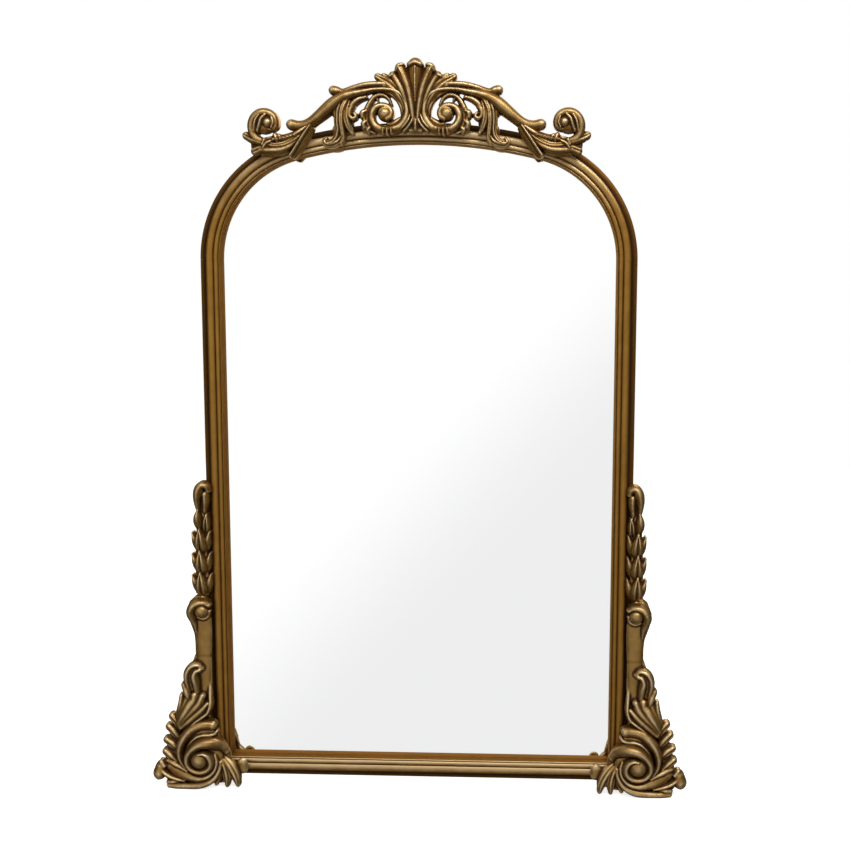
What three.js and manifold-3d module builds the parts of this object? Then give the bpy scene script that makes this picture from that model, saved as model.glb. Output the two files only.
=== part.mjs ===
// Arched pier mirror with a reeded frame, a pierced scroll-and-acanthus crest, laurel
// drops, console boards and carved corner feet.
// Millimetres, +Z up, the viewer stands on the -Y side. The origin is on the floor under
// the middle of the whole mirror.
import * as THREE from 'three';
import { mergeVertices } from 'three/addons/utils/BufferGeometryUtils.js';
import Module from 'manifold-3d';

const wasm = await Module();
wasm.setup();

// ---------------------------------------------------------------- driving dimensions
const SEAT = 0.3; // gap left between pieces that touch

// frame, measured on its outer edge
const outerHalfWidth = 444;
const springHeight = 1111; // where the straight stiles end
const archRise = 273; // from there to the top of the arch
const shoulderShare = 0.912; // radius of the shoulders as a share of the rise
const sightHeight = 59; // lower sight edge above the floor
const railUnderside = 28;

// reeded moulding, across (from the outer edge) and deep (from the front)
const mouldingWidth = 39;
const mouldingDepth = 38;
const coveDepth = 13;
const coveWidth = 10.2;
const reedRadius = 5.8;
const reedStep = 12; // centre of one reed to the centre of the next
const innerReedDrop = 1.5;
const lipWidth = 4.5;
const lipDrop = 17.5;
const rebateDrop = 25; // front of the frame to the seat of the glass
const rebateWidth = 7.5;

// glass, back and what holds them
const glassThickness = 4;
const glassPlay = 1;
const boardThickness = 6;
const clipThickness = 1.5;
const clipWidth = 16;
const clipFrameLeg = 13;
const clipBoardLeg = 15;
const clipStep = 3;
const clipShares = [0.207, 0.684]; // up the stiles
const clipRailShare = 0.473; // out along the rail
const clipCrownShare = 0.75; // out along the crown's arc
const clipHoleInset = 7;

// screws
const screwShankRadius = 1.6;
const screwHeadRadius = 3.6;
const screwHeadHeight = 2.2;
const screwLength = 14;
const screwSides = 8;

// hangers
const hangerBelowSpring = 101; // axis of the rings
const hangerWidth = 18;
const hangerLength = 56;
const hangerThickness = 1.6;
const hangerScrewPlaces = [28, 46]; // below the axis
const ringWire = 2;
const ringPlay = 0.4;
const knuckleWall = 1.6;
const knuckleLength = 14;
const ringHalfWidth = 12;
const ringDrop = 21;

// wall bumpers
const bumperRadius = 9;
const bumperHeight = 6;
const bumperAbove = 90;

// ornament
const crestHalfSpan = 346; // middle of the crest to its outer tip
const crestRelief = 42; // how far the carving stands in front of the frame
const crestLift = 4; // the crest's own datum above the top of the frame
const edgeShare = 0.58; // share of the relief at a stroke's edge
const footRelief = 52; // front of the frame to the foremost carving
const footPlate = 10;
const footBodyDepth = 34;
const sideStandOut = 6; // the side ornament's datum outside the frame
const consoleTop = 418;
const consoleFoot = 286;
const consoleReach = 21;
const consoleScroll = 38; // reach of its volute
const rollHalf = 3.5;
const consoleFront = 9;
const consoleInset = 11;
const dropTop = 664;
const dropTiers = 4;

const shoulderRadius = shoulderShare * archRise;
const crownHeight = springHeight + archRise;
const hangerHeight = springHeight - hangerBelowSpring;
const knuckleRadius = ringWire + ringPlay + knuckleWall;
const hangerStandOff = SEAT + knuckleRadius; // frame back to the ring's axis
const crestDatum = crownHeight + crestLift;
const frontMost = -footRelief;
const backMost = mouldingDepth + hangerStandOff + knuckleRadius;
const depthCentre = (frontMost + backMost) / 2;

// ---------------------------------------------------------------- finishes
const finish = (color, roughness, metalness) =>
  new THREE.MeshStandardMaterial({ color, roughness, metalness });
const FINISH = {
  gilt: finish(0x8a6a2f, 0.42, 0.55),
  glass: finish(0xe8eaec, 0.03, 1.0),
  board: finish(0x6f5a42, 0.85, 0.0),
  steel: finish(0xa8a9ab, 0.35, 0.9),
  rubber: finish(0x26262a, 0.8, 0.0),
};

// ---------------------------------------------------------------- solids
const flat = (geometry) => {
  const bare = geometry.index ? geometry.toNonIndexed() : geometry.clone();
  bare.deleteAttribute('normal');
  bare.deleteAttribute('uv');
  return mergeVertices(bare, 1e-4);
};

function solid(geometry) {
  const merged = flat(geometry);
  const shape = new wasm.Manifold(new wasm.Mesh({
    numProp: 3,
    vertProperties: new Float32Array(merged.attributes.position.array),
    triVerts: new Uint32Array(merged.index.array),
  }));
  return shape;
}

function geometryOf(shape) {
  const mesh = shape.getMesh();
  const geometry = new THREE.BufferGeometry();
  geometry.setAttribute('position', new THREE.BufferAttribute(mesh.vertProperties, 3));
  geometry.setIndex(new THREE.BufferAttribute(mesh.triVerts, 1));
  return geometry;
}

const join = (shapes) => shapes.reduce((all, shape) => all.add(shape));

// The same solid on the other side of the middle plane.
const mirrored = (shape) => solid(turnedOut(geometryOf(shape).scale(-1, 1, 1)));

// The largest of the bodies that a cut leaves.
const mainBody = (shape) => shape.decompose().reduce((a, b) => (b.volume() > a.volume() ? b : a));

// Closed skin over rings of points that all have the same count, with flat end caps.
function loft(rings, closed = false) {
  const count = rings[0].length;
  const positions = rings.flat().flatMap((p) => [p.x, p.y, p.z]);
  const index = [];
  const last = closed ? rings.length : rings.length - 1;
  for (let r = 0; r < last; r += 1) {
    const a = r * count;
    const b = ((r + 1) % rings.length) * count;
    for (let i = 0; i < count; i += 1) {
      const j = (i + 1) % count;
      index.push(a + i, b + i, b + j, a + i, b + j, a + j);
    }
  }
  if (!closed) {
    capRing(rings[0], 0, index, false);
    capRing(rings[rings.length - 1], (rings.length - 1) * count, index, true);
  }
  const geometry = new THREE.BufferGeometry();
  geometry.setAttribute('position', new THREE.Float32BufferAttribute(positions, 3));
  geometry.setIndex(index);
  return turnedOut(geometry);
}

// Triangles over a flat ring, drawn on the plane the ring lies in. They follow the ring's
// own sense, or the other one where `reversed`.
function capRing(ring, start, index, reversed) {
  const normal = new THREE.Vector3();
  ring.forEach((p, i) => normal.add(new THREE.Vector3().crossVectors(p, ring[(i + 1) % ring.length])));
  normal.normalize();
  const across = new THREE.Vector3().subVectors(ring[1], ring[0]).normalize();
  const along = new THREE.Vector3().crossVectors(normal, across);
  const drawn = ring.map((p) => new THREE.Vector2(p.dot(across), p.dot(along)));
  THREE.ShapeUtils.triangulateShape(drawn, []).forEach(([a, b, c]) => {
    const turns = THREE.ShapeUtils.area([drawn[a], drawn[b], drawn[c]]) > 0;
    index.push(start + a, ...(turns === reversed ? [start + c, start + b] : [start + b, start + c]));
  });
}

// The same skin with its faces pointing out.
function turnedOut(geometry) {
  const position = geometry.attributes.position;
  const index = geometry.index.array;
  const [a, b, c] = [new THREE.Vector3(), new THREE.Vector3(), new THREE.Vector3()];
  let volume = 0;
  for (let i = 0; i < index.length; i += 3) {
    a.fromBufferAttribute(position, index[i]);
    b.fromBufferAttribute(position, index[i + 1]);
    c.fromBufferAttribute(position, index[i + 2]);
    volume += a.dot(b.cross(c));
  }
  if (volume < 0) {
    for (let i = 0; i < index.length; i += 3) [index[i + 1], index[i + 2]] = [index[i + 2], index[i + 1]];
  }
  return geometry;
}

// A flat outline on the XZ plane, given thickness from front to back along Y.
function slab(outline, front, back) {
  const ring = (y) => outline.map(([x, z]) => new THREE.Vector3(x, y, z));
  return loft([ring(front), ring(back)]);
}

function block(x0, x1, y0, y1, z0, z1) {
  const box = new THREE.BoxGeometry(x1 - x0, y1 - y0, z1 - z0);
  box.translate((x0 + x1) / 2, (y0 + y1) / 2, (z0 + z1) / 2);
  return box;
}

// A round bar along Y (front to back) for bores.
function boreAlongY(radius, x, z, y0, y1, sides = screwSides) {
  const bar = new THREE.CylinderGeometry(radius, radius, y1 - y0, sides);
  bar.translate(x, (y0 + y1) / 2, z);
  return bar;
}

// ---------------------------------------------------------------- frame outline
const crownRadius = (() => {
  const reach = outerHalfWidth - shoulderRadius;
  const rise = crownHeight - springHeight;
  return (rise ** 2 + reach ** 2 - shoulderRadius ** 2) / (2 * (rise - shoulderRadius));
})();
const crownCentre = crownHeight - crownRadius;
const shoulderCentre = outerHalfWidth - shoulderRadius;
const tangentAngle = Math.atan2(shoulderCentre, springHeight - crownCentre); // from upright

// Stations along the arch from the right springing over the crown to the left one. Each
// gives the place for a distance in from the outer edge.
function archStations(shoulderSteps, crownSteps) {
  const stations = [];
  const onArc = (cx, cz, radius, angle) => (inset) => [
    cx + (radius - inset) * Math.sin(angle),
    cz + (radius - inset) * Math.cos(angle),
  ];
  for (let i = 0; i < shoulderSteps; i += 1) {
    const angle = THREE.MathUtils.lerp(Math.PI / 2, tangentAngle, i / shoulderSteps);
    stations.push(onArc(shoulderCentre, springHeight, shoulderRadius, angle));
  }
  for (let i = 0; i <= crownSteps; i += 1) {
    const angle = THREE.MathUtils.lerp(tangentAngle, -tangentAngle, i / crownSteps);
    stations.push(onArc(0, crownCentre, crownRadius, angle));
  }
  for (let i = 1; i <= shoulderSteps; i += 1) {
    const angle = THREE.MathUtils.lerp(-tangentAngle, -Math.PI / 2, i / shoulderSteps);
    stations.push(onArc(-shoulderCentre, springHeight, shoulderRadius, angle));
  }
  return stations;
}

// Outline of the whole arch at a distance in from the outer edge.
function archOutline(inset) {
  const foot = sightHeight - (mouldingWidth - inset);
  const side = outerHalfWidth - inset;
  const arch = archStations(9, 11).map((at) => at(inset));
  return [[side, foot], ...arch, [-side, foot]];
}

// ---------------------------------------------------------------- moulding
// Points across the moulding: [in from the outer edge, back from the front].
function mouldingSection(trim = 0) {
  const reed = (centre, top) => [180, 135, 90, 45, 0].map((degrees) => {
    const angle = THREE.MathUtils.degToRad(degrees);
    return [centre + reedRadius * Math.cos(angle), top + reedRadius * (1 - Math.sin(angle))];
  });
  const outerReed = coveWidth + reedRadius;
  const innerReed = outerReed + reedStep;
  const lipStart = mouldingWidth - lipWidth;
  const cove = trim > 0 ? [[trim, mouldingDepth], [trim, reedRadius + 2]] : [
    [0, mouldingDepth],
    [0, coveDepth],
    [coveWidth * 0.45, coveDepth - 1],
    [coveWidth * 0.9, coveDepth - 4],
  ];
  return [
    ...cove,
    ...reed(outerReed, 0),
    ...reed(innerReed, innerReedDrop),
    [lipStart, lipDrop],
    [mouldingWidth - lipWidth * 0.4, lipDrop - 0.8],
    [mouldingWidth, lipDrop + 1],
    [mouldingWidth, rebateDrop],
    [mouldingWidth - rebateWidth, rebateDrop],
    [mouldingWidth - rebateWidth, mouldingDepth],
  ];
}

function archHead() {
  const section = mouldingSection();
  const rings = archStations(9, 11).map((at) => section.map(([inset, depth]) => {
    const [x, z] = at(inset);
    return new THREE.Vector3(x, depth, z);
  }));
  return loft(rings);
}

function stile() {
  const section = mouldingSection();
  const mitre = SEAT / Math.SQRT2;
  const ring = (height) => section.map(([inset, depth]) =>
    new THREE.Vector3(outerHalfWidth - inset, depth, height(inset)));
  return loft([
    ring((inset) => sightHeight - mouldingWidth + inset + mitre),
    ring(() => springHeight - SEAT),
  ]);
}

function bottomRail() {
  const trim = mouldingWidth - (sightHeight - railUnderside);
  const section = mouldingSection(trim);
  const mitre = SEAT / Math.SQRT2;
  const ring = (side) => section.map(([inset, depth]) =>
    new THREE.Vector3(side * (outerHalfWidth - inset - mitre), depth, sightHeight - mouldingWidth + inset));
  return loft([ring(1), ring(-1)]);
}

// The room that the frame's corner needs, with its clearance, for pieces that wrap it.
function cornerEnvelope() {
  const section = [
    [-SEAT, mouldingDepth + SEAT],
    [-SEAT, coveDepth - SEAT],
    [coveWidth * 0.7, coveDepth - 4 - SEAT],
    [coveWidth * 0.7, -SEAT],
    [mouldingWidth, -SEAT],
    [mouldingWidth, mouldingDepth + SEAT],
  ];
  const ring = (z) => section.map(([inset, depth]) =>
    new THREE.Vector3(outerHalfWidth - inset, depth, z));
  const upright = solid(loft([ring(sightHeight - mouldingWidth - SEAT), ring(springHeight)]));
  const inside = solid(block(
    0, outerHalfWidth - mouldingWidth + 1, -SEAT, mouldingDepth + SEAT,
    sightHeight - mouldingWidth - SEAT, springHeight,
  ));
  return upright.add(inside);
}

// ---------------------------------------------------------------- carved strokes
const smooth = (list, t) => {
  const place = t * (list.length - 1);
  const i = Math.min(Math.floor(place), list.length - 2);
  const f = place - i;
  return THREE.MathUtils.lerp(list[i], list[i + 1], f * f * (3 - 2 * f));
};

// One carved ridge that follows a curve over the front of the frame. `half` and `rise` are
// the half width and the relief along it; its round ends come from `tips`.
function stroke(path, half, rise, options = {}) {
  const { back = -SEAT, step = 9, grow = 0, ridged = false, tips = [true, true] } = options;
  const points = path.map(([x, z]) => new THREE.Vector3(x, 0, z));
  const curve = new THREE.CatmullRomCurve3(points, false, 'centripetal');
  const length = curve.getLength();
  const stations = Math.max(3, Math.round(length / step));
  const rings = [];
  const section = ridged ? [[-1, 0], [0, 1], [1, 0]]
    : [[-1, 0], [-0.86, edgeShare], [0, 1], [0.86, edgeShare], [1, 0]];
  const addRing = (t, shift, scale) => {
    const at = curve.getPointAt(t);
    const tangent = curve.getTangentAt(t).normalize();
    at.addScaledVector(tangent, shift);
    const side = new THREE.Vector3(tangent.z, 0, -tangent.x);
    const w = (smooth(half, t) + grow) * scale;
    const h = (smooth(rise, t) + grow) * Math.sqrt(scale);
    rings.push(section.map(([a, b]) => new THREE.Vector3(
      at.x + side.x * a * w, back + grow * (b > 0 ? 0 : 1) - b * h, at.z + side.z * a * w)));
  };
  const tip = (t, sign) => {
    const reach = (smooth(half, t) + grow);
    const rounding = reach > 7 ? [[0.95, 0.3], [0.7, 0.72]] : [[0.85, 0.55]];
    return rounding.map(([s, k]) => [t, sign * reach * s, k]);
  };
  if (tips[0]) tip(0, -1).forEach((r) => addRing(...r));
  for (let i = 0; i <= stations; i += 1) addRing(i / stations, 0, 1);
  if (tips[1]) tip(1, 1).reverse().forEach((r) => addRing(...r));
  return solid(loft(rings));
}

// Centre line of a volute: radius shrinks from `outer` to `inner` while the angle turns.
function volute([cx, cz], outer, inner, from, turn, power, count = 12) {
  return Array.from({ length: count + 1 }, (_, i) => {
    const t = i / count;
    const radius = inner + (outer - inner) * (1 - t) ** power;
    const angle = THREE.MathUtils.degToRad(from + turn * t);
    return [cx + radius * Math.cos(angle), cz + radius * Math.sin(angle)];
  });
}

// A round button, domed at the front.
function button([x, z], radius, rise, options = {}) {
  const { back = -SEAT, grow = 0, sides = 10 } = options;
  const ring = (scale, height) => Array.from({ length: sides }, (_, i) => {
    const angle = (i / sides) * 2 * Math.PI;
    const r = (radius + grow) * scale;
    return new THREE.Vector3(x + r * Math.cos(angle), back - height, z + r * Math.sin(angle));
  });
  const top = rise + grow;
  return solid(loft([ring(1, -grow), ring(1, top * 0.6), ring(0.78, top * 0.87), ring(0.3, top)]));
}

const raise = (list, height) => list.map(([x, z]) => [x, z + height]);
const enlarge = (list, scale) => list.map(([x, z]) => [x * scale, z * scale]);

// ---------------------------------------------------------------- crest
// The crest is drawn at a half span of 346. Places on it are [from the middle, above the
// crest's datum].
const crestScale = crestHalfSpan / 346;
const onCrest = (list) => raise(enlarge(list, crestScale), crestDatum);
const crestStroke = ({ path, half, rise }, options) => stroke(
  onCrest(path), half.map((w) => w * crestScale), rise.map((k) => k * crestRelief), options,
);
const crestCoil = ({ path, half, rise }, grow) =>
  crestStroke({ path, half, rise }, { grow, step: 16 * crestScale });
const crestButton = (at, radius, share, options) =>
  button(onCrest([at])[0], radius * crestScale, crestRelief * share, options);

const SHELL = {
  flutes: [
    { path: [[0, -30], [0, 20], [0, 70], [0, 99]], half: [4, 7, 10, 13], rise: [0.7, 0.85, 1, 1] },
    { path: [[7, -30], [10, 20], [17, 62], [28, 88]], half: [4, 7, 9, 11], rise: [0.6, 0.7, 0.85, 0.85] },
    { path: [[11, -29], [17, 6], [28, 40], [48, 64], [74, 80]], half: [4, 9, 13, 12, 5], rise: [0.5, 0.55, 0.7, 0.65, 0.5] },
  ],
};

function crestShell(grow = 0) {
  const [middle, ...side] = SHELL.flutes.map((flute) => crestStroke(flute, { grow, step: 20 * crestScale }));
  const right = join(side);
  return join([middle, right, mirrored(right)]);
}

const SCROLL = {
  centre: [61, 6],
  eye: 10,
  bands: [
    // main band from the palmette over the volute and down the side to its curled end
    {
      path: [[21, -6], [22, 16], [33, 39], [52, 53], [76, 57], [102, 51], [130, 42], [160, 26], [185, 8], [205, -4], [226, -11], [242, -9]],
      half: [7, 7, 8, 8, 8, 9, 10, 11, 11, 10, 7, 9], rise: [0.55, 0.6, 0.7, 0.8, 0.85, 0.85, 0.85, 0.85, 0.8, 0.7, 0.6, 0.65],
    },
    // upper leaf with its round tip
    { path: [[32, 44], [52, 63], [78, 66], [102, 62], [130, 54], [150, 51], [161, 54]], half: [6, 8, 6, 6, 6, 7, 9], rise: [0.5, 0.6, 0.65, 0.65, 0.6, 0.55, 0.6] },
    // thin tendril over the volute
    { path: [[48, 24], [58, 40], [75, 43], [92, 30], [101, 10], [103, -12]], half: [3, 4, 4, 5, 7, 7], rise: [0.4, 0.5, 0.5, 0.5, 0.5, 0.45] },
    // link and small curl
    { path: [[100, 4], [112, 6]], half: [4, 4], rise: [0.4, 0.4] },
    { path: [[104, 34], [120, 22], [129, 8]], half: [5, 5, 4], rise: [0.5, 0.5, 0.45] },
    // hanging acanthus
    { path: [[118, 38], [133, 8], [136, -24], [144, -54]], half: [6, 9, 8, 4], rise: [0.6, 0.75, 0.7, 0.5] },
    { path: [[138, 32], [152, 8], [151, -22], [158, -46], [171, -58], [182, -52]], half: [6, 8, 7, 7, 7, 6], rise: [0.6, 0.7, 0.65, 0.7, 0.65, 0.55] },
    { path: [[142, 30], [157, 10], [163, -6]], half: [6, 8, 4], rise: [0.5, 0.55, 0.45] },
  ],
};

function crestScroll(grow = 0) {
  const coil = volute(SCROLL.centre, 45, 12, 176, 470, 1.3, 16);
  return join([
    ...SCROLL.bands.map((band) => crestStroke(band, { grow, step: 20 * crestScale })),
    crestCoil({ path: coil, half: [5, 9, 10, 9, 7, 5], rise: [0.55, 0.75, 0.8, 0.75, 0.7, 0.65] }, grow),
    crestButton(SCROLL.centre, SCROLL.eye, 0.85, { grow }),
    crestButton([121, 5], 9, 0.6, { grow, sides: 8 }),
  ]);
}

const BRANCH = {
  centre: [298, -12],
  eye: 10,
  bands: [
    { path: [[206, -15], [224, -37], [241, -61], [252, -78]], half: [6, 6, 5, 7], rise: [0.75, 0.8, 0.7, 0.6] },
    { path: [[222, -22], [240, -38], [262, -48], [284, -50], [303, -44]], half: [6, 7, 8, 8, 8], rise: [0.5, 0.6, 0.7, 0.7, 0.65] },
    { path: [[246, -42], [262, -33], [280, -33]], half: [5, 6, 3], rise: [0.45, 0.5, 0.4] },
    { path: [[302, -46], [326, -42], [342, -32]], half: [7, 7, 4], rise: [0.55, 0.55, 0.4] },
    { path: [[268, -62], [290, -57], [312, -52], [326, -58], [330, -70]], half: [6, 8, 8, 7, 5], rise: [0.55, 0.6, 0.6, 0.5, 0.45] },
  ],
};

function crestBranch(grow = 0) {
  const coil = volute(BRANCH.centre, 38, 12, -108, 380, 0.8, 12);
  return join([
    ...BRANCH.bands.map((band) => crestStroke(band, { grow, step: 20 * crestScale })),
    crestCoil({ path: coil, half: [8, 10, 11, 9, 7], rise: [0.65, 0.8, 0.85, 0.8, 0.7] }, grow),
    crestButton(BRANCH.centre, BRANCH.eye, 0.8, { grow }),
  ]);
}

// ---------------------------------------------------------------- side ornament
// Places beside the frame are [out from the side ornament's datum, above the floor].
const besideX = outerHalfWidth + sideStandOut;
const beside = (list) => list.map(([x, z]) => [besideX + x, z]);

function laurelDrop() {
  const tierStep = (dropTop - 66 - consoleTop) / dropTiers;
  const back = coveDepth + 2;
  const leaf = (path, half, rise) =>
    stroke(beside(path), half, rise, { step: 13, back, ridged: true, tips: [false, false] });
  const curl = [[9, dropTop - 64], [11, dropTop - 34], [6, dropTop - 10], [-4, dropTop - 11], [-6, dropTop - 25]];
  const stem = [[2, consoleTop + 5], [2, dropTop - 110], [0, dropTop - 44]];
  const parts = [
    stroke(beside(stem), [13, 11, 6], [21, 21, 19], { step: 40, back }),
    stroke(beside(curl), [4, 6, 8, 7, 7], [25, 33, 37, 35, 33], { step: 13, back }),
  ];
  for (let k = 0; k < dropTiers; k += 1) {
    const z = consoleTop + 4 + k * tierStep;
    const slim = 1 - 0.08 * k;
    parts.push(
      leaf([[8, z], [19, z + 20], [24 - 3 * k, z + 46]], [7, 10 * slim, 1.5], [24, 32, 23]),
      leaf([[0, z], [-7, z + 20], [-11 + k, z + 44]], [6, 8 * slim, 1.5], [23, 28, 21]),
      leaf([[5, z - 4], [5, z + 20], [6, z + 46]], [7, 12 * slim, 1.5], [30, 37, 25]),
    );
  }
  const shelf = solid(block(
    outerHalfWidth - 40, outerHalfWidth + 60, -99, 99, consoleTop - 60, consoleTop + SEAT,
  ));
  return join(parts).subtract(shelf).subtract(cornerEnvelope());
}

function consoleBoard() {
  const inner = -consoleInset;
  const swell = consoleScroll - consoleReach; // how far the volute stands out past the board
  const down = (share) => consoleTop - share * swell * 2;
  const outline = beside([
    [inner, consoleFoot], [consoleReach, consoleFoot], [consoleReach, down(2.88)],
    [consoleReach + swell * 0.18, down(2.35)], [consoleReach + swell * 0.7, down(1.76)],
    [consoleScroll, down(1.18)], [consoleReach + swell * 0.82, down(0.53)],
    [consoleReach, down(0.12)], [swell * 0.12, down(0.06)], [inner, down(0.47)],
  ]);
  const board = solid(slab(outline, -consoleFront, mouldingDepth - 4));
  const eye = swell * 0.53;
  const centre = [besideX + eye, down(0.85)];
  const scroll = volute(centre, eye * 3, eye * 1.1, -150, 420, 1, 12);
  const roll = beside([
    [inner + rollHalf, consoleFoot - 2], [inner + rollHalf, down(2.6)], [inner + rollHalf, down(1.5)],
  ]);
  const upper = join([
    board,
    stroke(scroll, [4, 7, 7, 6, 5], [8, 14, 18, 20, 20], { back: -consoleFront + 4, step: 12 }),
    stroke(roll, [rollHalf, rollHalf], [8, 8], { back: -consoleFront + 3, step: 45, tips: [false, true] }),
    button(centre, eye, 24, { back: -consoleFront + 4 }),
  ]);
  const below = solid(block(0, outerHalfWidth + 99, -99, 99, consoleFoot - 60, consoleFoot));
  const above = solid(block(0, outerHalfWidth + 99, -99, 99, consoleTop, consoleTop + 60));
  return upper.subtract(below).subtract(above).subtract(cornerEnvelope());
}

// ---------------------------------------------------------------- feet
// The foot is drawn 286 high. Places on it are [out from the side ornament's datum, above
// the floor].
const footScale = consoleFoot / 286;
const onFoot = (list) => beside(enlarge(list, footScale));
const FOOT = {
  plate: [
    [-11, 285.7], [-11, 205], [-5, 172], [-24, 146], [-48, 120], [-68, 86],
    [-80, 66], [-82, 40], [-76, 14], [-12, 3], [-8, 0], [88, 0], [102, 10], [104, 36], [88, 62], [82, 110],
    [66, 158], [46, 200], [38, 250], [32, 272], [21, 285.7],
  ],
  volute: [18, 63],
  eye: 13,
  bands: [
    // outer band over the volute
    { path: [[-18, 156], [8, 152], [34, 140], [54, 114], [61, 82], [55, 54], [36, 30]], half: [7, 11, 12, 11, 8, 6, 3], rise: [0.45, 0.6, 0.7, 0.75, 0.7, 0.6, 0.5] },
    // tail that runs to the outer corner
    { path: [[14, 20], [42, 15], [74, 18], [101, 29]], half: [8, 9, 9, 14], rise: [0.75, 0.75, 0.7, 0.65] },
    { path: [[-2, 7], [40, 5], [82, 8]], half: [7, 8, 7], rise: [0.6, 0.7, 0.6] },
    { path: [[74, 22], [84, 12], [92, 8]], half: [5, 6, 4], rise: [0.45, 0.45, 0.35], ridged: true },
    // leaf on the corner of the frame
    { path: [[-74, 46], [-55, 76], [-38, 104], [-18, 130]], half: [9, 16, 15, 8], rise: [0.3, 0.42, 0.42, 0.35] },
    // lobes that hang below the rail
    { path: [[-48, 72], [-58, 42], [-69, 14]], half: [7, 9, 7], rise: [0.5, 0.5, 0.4], ridged: true },
    { path: [[-36, 66], [-41, 40], [-42, 14]], half: [7, 9, 7], rise: [0.5, 0.5, 0.4], ridged: true },
    { path: [[-20, 44], [-22, 28], [-18, 13]], half: [7, 8, 6], rise: [0.5, 0.5, 0.4], ridged: true },
    // acanthus that fans up and inwards
    { path: [[58, 124], [30, 152], [1, 190]], half: [6, 9, 5], rise: [0.6, 0.7, 0.5], ridged: true },
    { path: [[59, 128], [36, 162], [14, 212]], half: [6, 9, 6], rise: [0.6, 0.75, 0.5], ridged: true },
    { path: [[60, 130], [44, 168], [29, 208]], half: [6, 9, 7], rise: [0.6, 0.75, 0.55], ridged: true },
    { path: [[61, 134], [52, 170], [48, 206]], half: [6, 8, 4], rise: [0.5, 0.6, 0.4], ridged: true },
    { path: [[46, 190], [42, 216], [45, 236]], half: [6, 6, 5], rise: [0.45, 0.5, 0.4], ridged: true },
    // curls at the head of the acanthus
    { path: [[24, 216], [32, 240], [27, 256], [14, 260]], half: [5, 6, 6, 5], rise: [0.5, 0.6, 0.6, 0.45] },
    { path: [[40, 216], [42, 250], [32, 272], [16, 278], [6, 268]], half: [6, 8, 8, 6, 4], rise: [0.5, 0.6, 0.65, 0.55, 0.4] },
  ],
  // feather leaf on the outer side: roots and tips of its barbs
  feather: {
    first: [[62, 122], [75, 158]], last: [[70, 34], [97, 60]], barbs: 6, half: [7, 8, 3], rise: [0.5, 0.6, 0.35],
  },
};

function footCasting() {
  const plate = solid(slab(onFoot(FOOT.plate), -footPlate, footBodyDepth));
  const [centre] = onFoot([FOOT.volute]);
  const lift = { back: -footPlate + 3, step: 24 * footScale };
  const deep = footRelief - footPlate + 3;
  const carve = (path, half, rise, options) => stroke(
    onFoot(path), half.map((w) => w * footScale), rise.map((k) => k * deep), options,
  );
  const parts = FOOT.bands.map(({ path, half, rise, ridged = false }) =>
    carve(path, half, rise, { ...lift, ridged, tips: [false, true] }));
  const { first, last, barbs, half, rise } = FOOT.feather;
  for (let i = 0; i < barbs; i += 1) {
    const t = i / (barbs - 1);
    const at = (n) => [0, 1].map((k) => THREE.MathUtils.lerp(first[n][k], last[n][k], t));
    const [root, end] = [at(0), at(1)];
    const middle = [(root[0] + end[0]) / 2 + 5, (root[1] + end[1]) / 2 - 4];
    parts.push(carve([root, middle, end], half, rise, { ...lift, ridged: true, tips: [false, false] }));
  }
  // volute: a wide turn that tightens towards the eye
  const coil = Array.from({ length: 17 }, (_, i) => {
    const t = i / 16;
    const radius = 15 + 27 * (1 - t ** 2.2);
    const angle = THREE.MathUtils.degToRad(-70 - 470 * t);
    return [FOOT.volute[0] + radius * Math.cos(angle), FOOT.volute[1] + radius * Math.sin(angle)];
  });
  parts.push(carve(coil, [8, 9, 10, 9, 8, 6], [0.75, 0.85, 0.9, 0.9, 0.85, 0.75], { ...lift, step: 20 * footScale }));
  parts.push(button(centre, FOOT.eye * footScale, deep, { ...lift, sides: 12 }));
  parts.push(button(onFoot([[-78, 60]])[0], 12 * footScale, deep * 0.55, { ...lift, sides: 8 }));
  const floor = solid(block(0, outerHalfWidth + 200, -99, 99, -60, 0));
  const above = solid(block(
    0, outerHalfWidth + 200, -99, 99, consoleFoot - SEAT, consoleFoot + 60,
  ));
  return join([plate, ...parts]).subtract(floor).subtract(above).subtract(cornerEnvelope());
}

// ---------------------------------------------------------------- hardware
function screwGeometry() {
  const outline = [
    [0, -screwLength], [screwShankRadius, -screwLength + 2.5], [screwShankRadius, 0],
    [screwHeadRadius, 0], [screwHeadRadius * 0.86, screwHeadHeight * 0.7], [0, screwHeadHeight],
  ].map(([r, y]) => new THREE.Vector2(r, y));
  return new THREE.LatheGeometry(outline, screwSides);
}

const screwBore = (x, z, y0, y1) => solid(boreAlongY(screwShankRadius + SEAT, x, z, y0, y1));
const screwReach = screwLength - clipThickness; // below the back of the frame

// Offset clip in its own place: x runs along the frame, z out from the glass.
function clipGeometry() {
  const low = mouldingDepth + SEAT;
  const drop = low - (rebateDrop + glassThickness + boardThickness + 3 * SEAT);
  const t = clipThickness;
  const profile = [
    [clipFrameLeg, low], [0, low], [-clipStep, low - drop], [-clipStep - clipBoardLeg, low - drop],
    [-clipStep - clipBoardLeg, low - drop + t], [-clipStep - t * 0.3, low - drop + t],
    [-t * 0.3, low + t], [clipFrameLeg, low + t],
  ];
  const ring = (x) => profile.map(([z, y]) => new THREE.Vector3(x, y, z));
  const body = solid(loft([ring(-clipWidth / 2), ring(clipWidth / 2)]));
  const hole = screwBore(0, clipFrameLeg - clipHoleInset, low - 5, low + t + 5);
  return geometryOf(body.subtract(hole));
}

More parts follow.
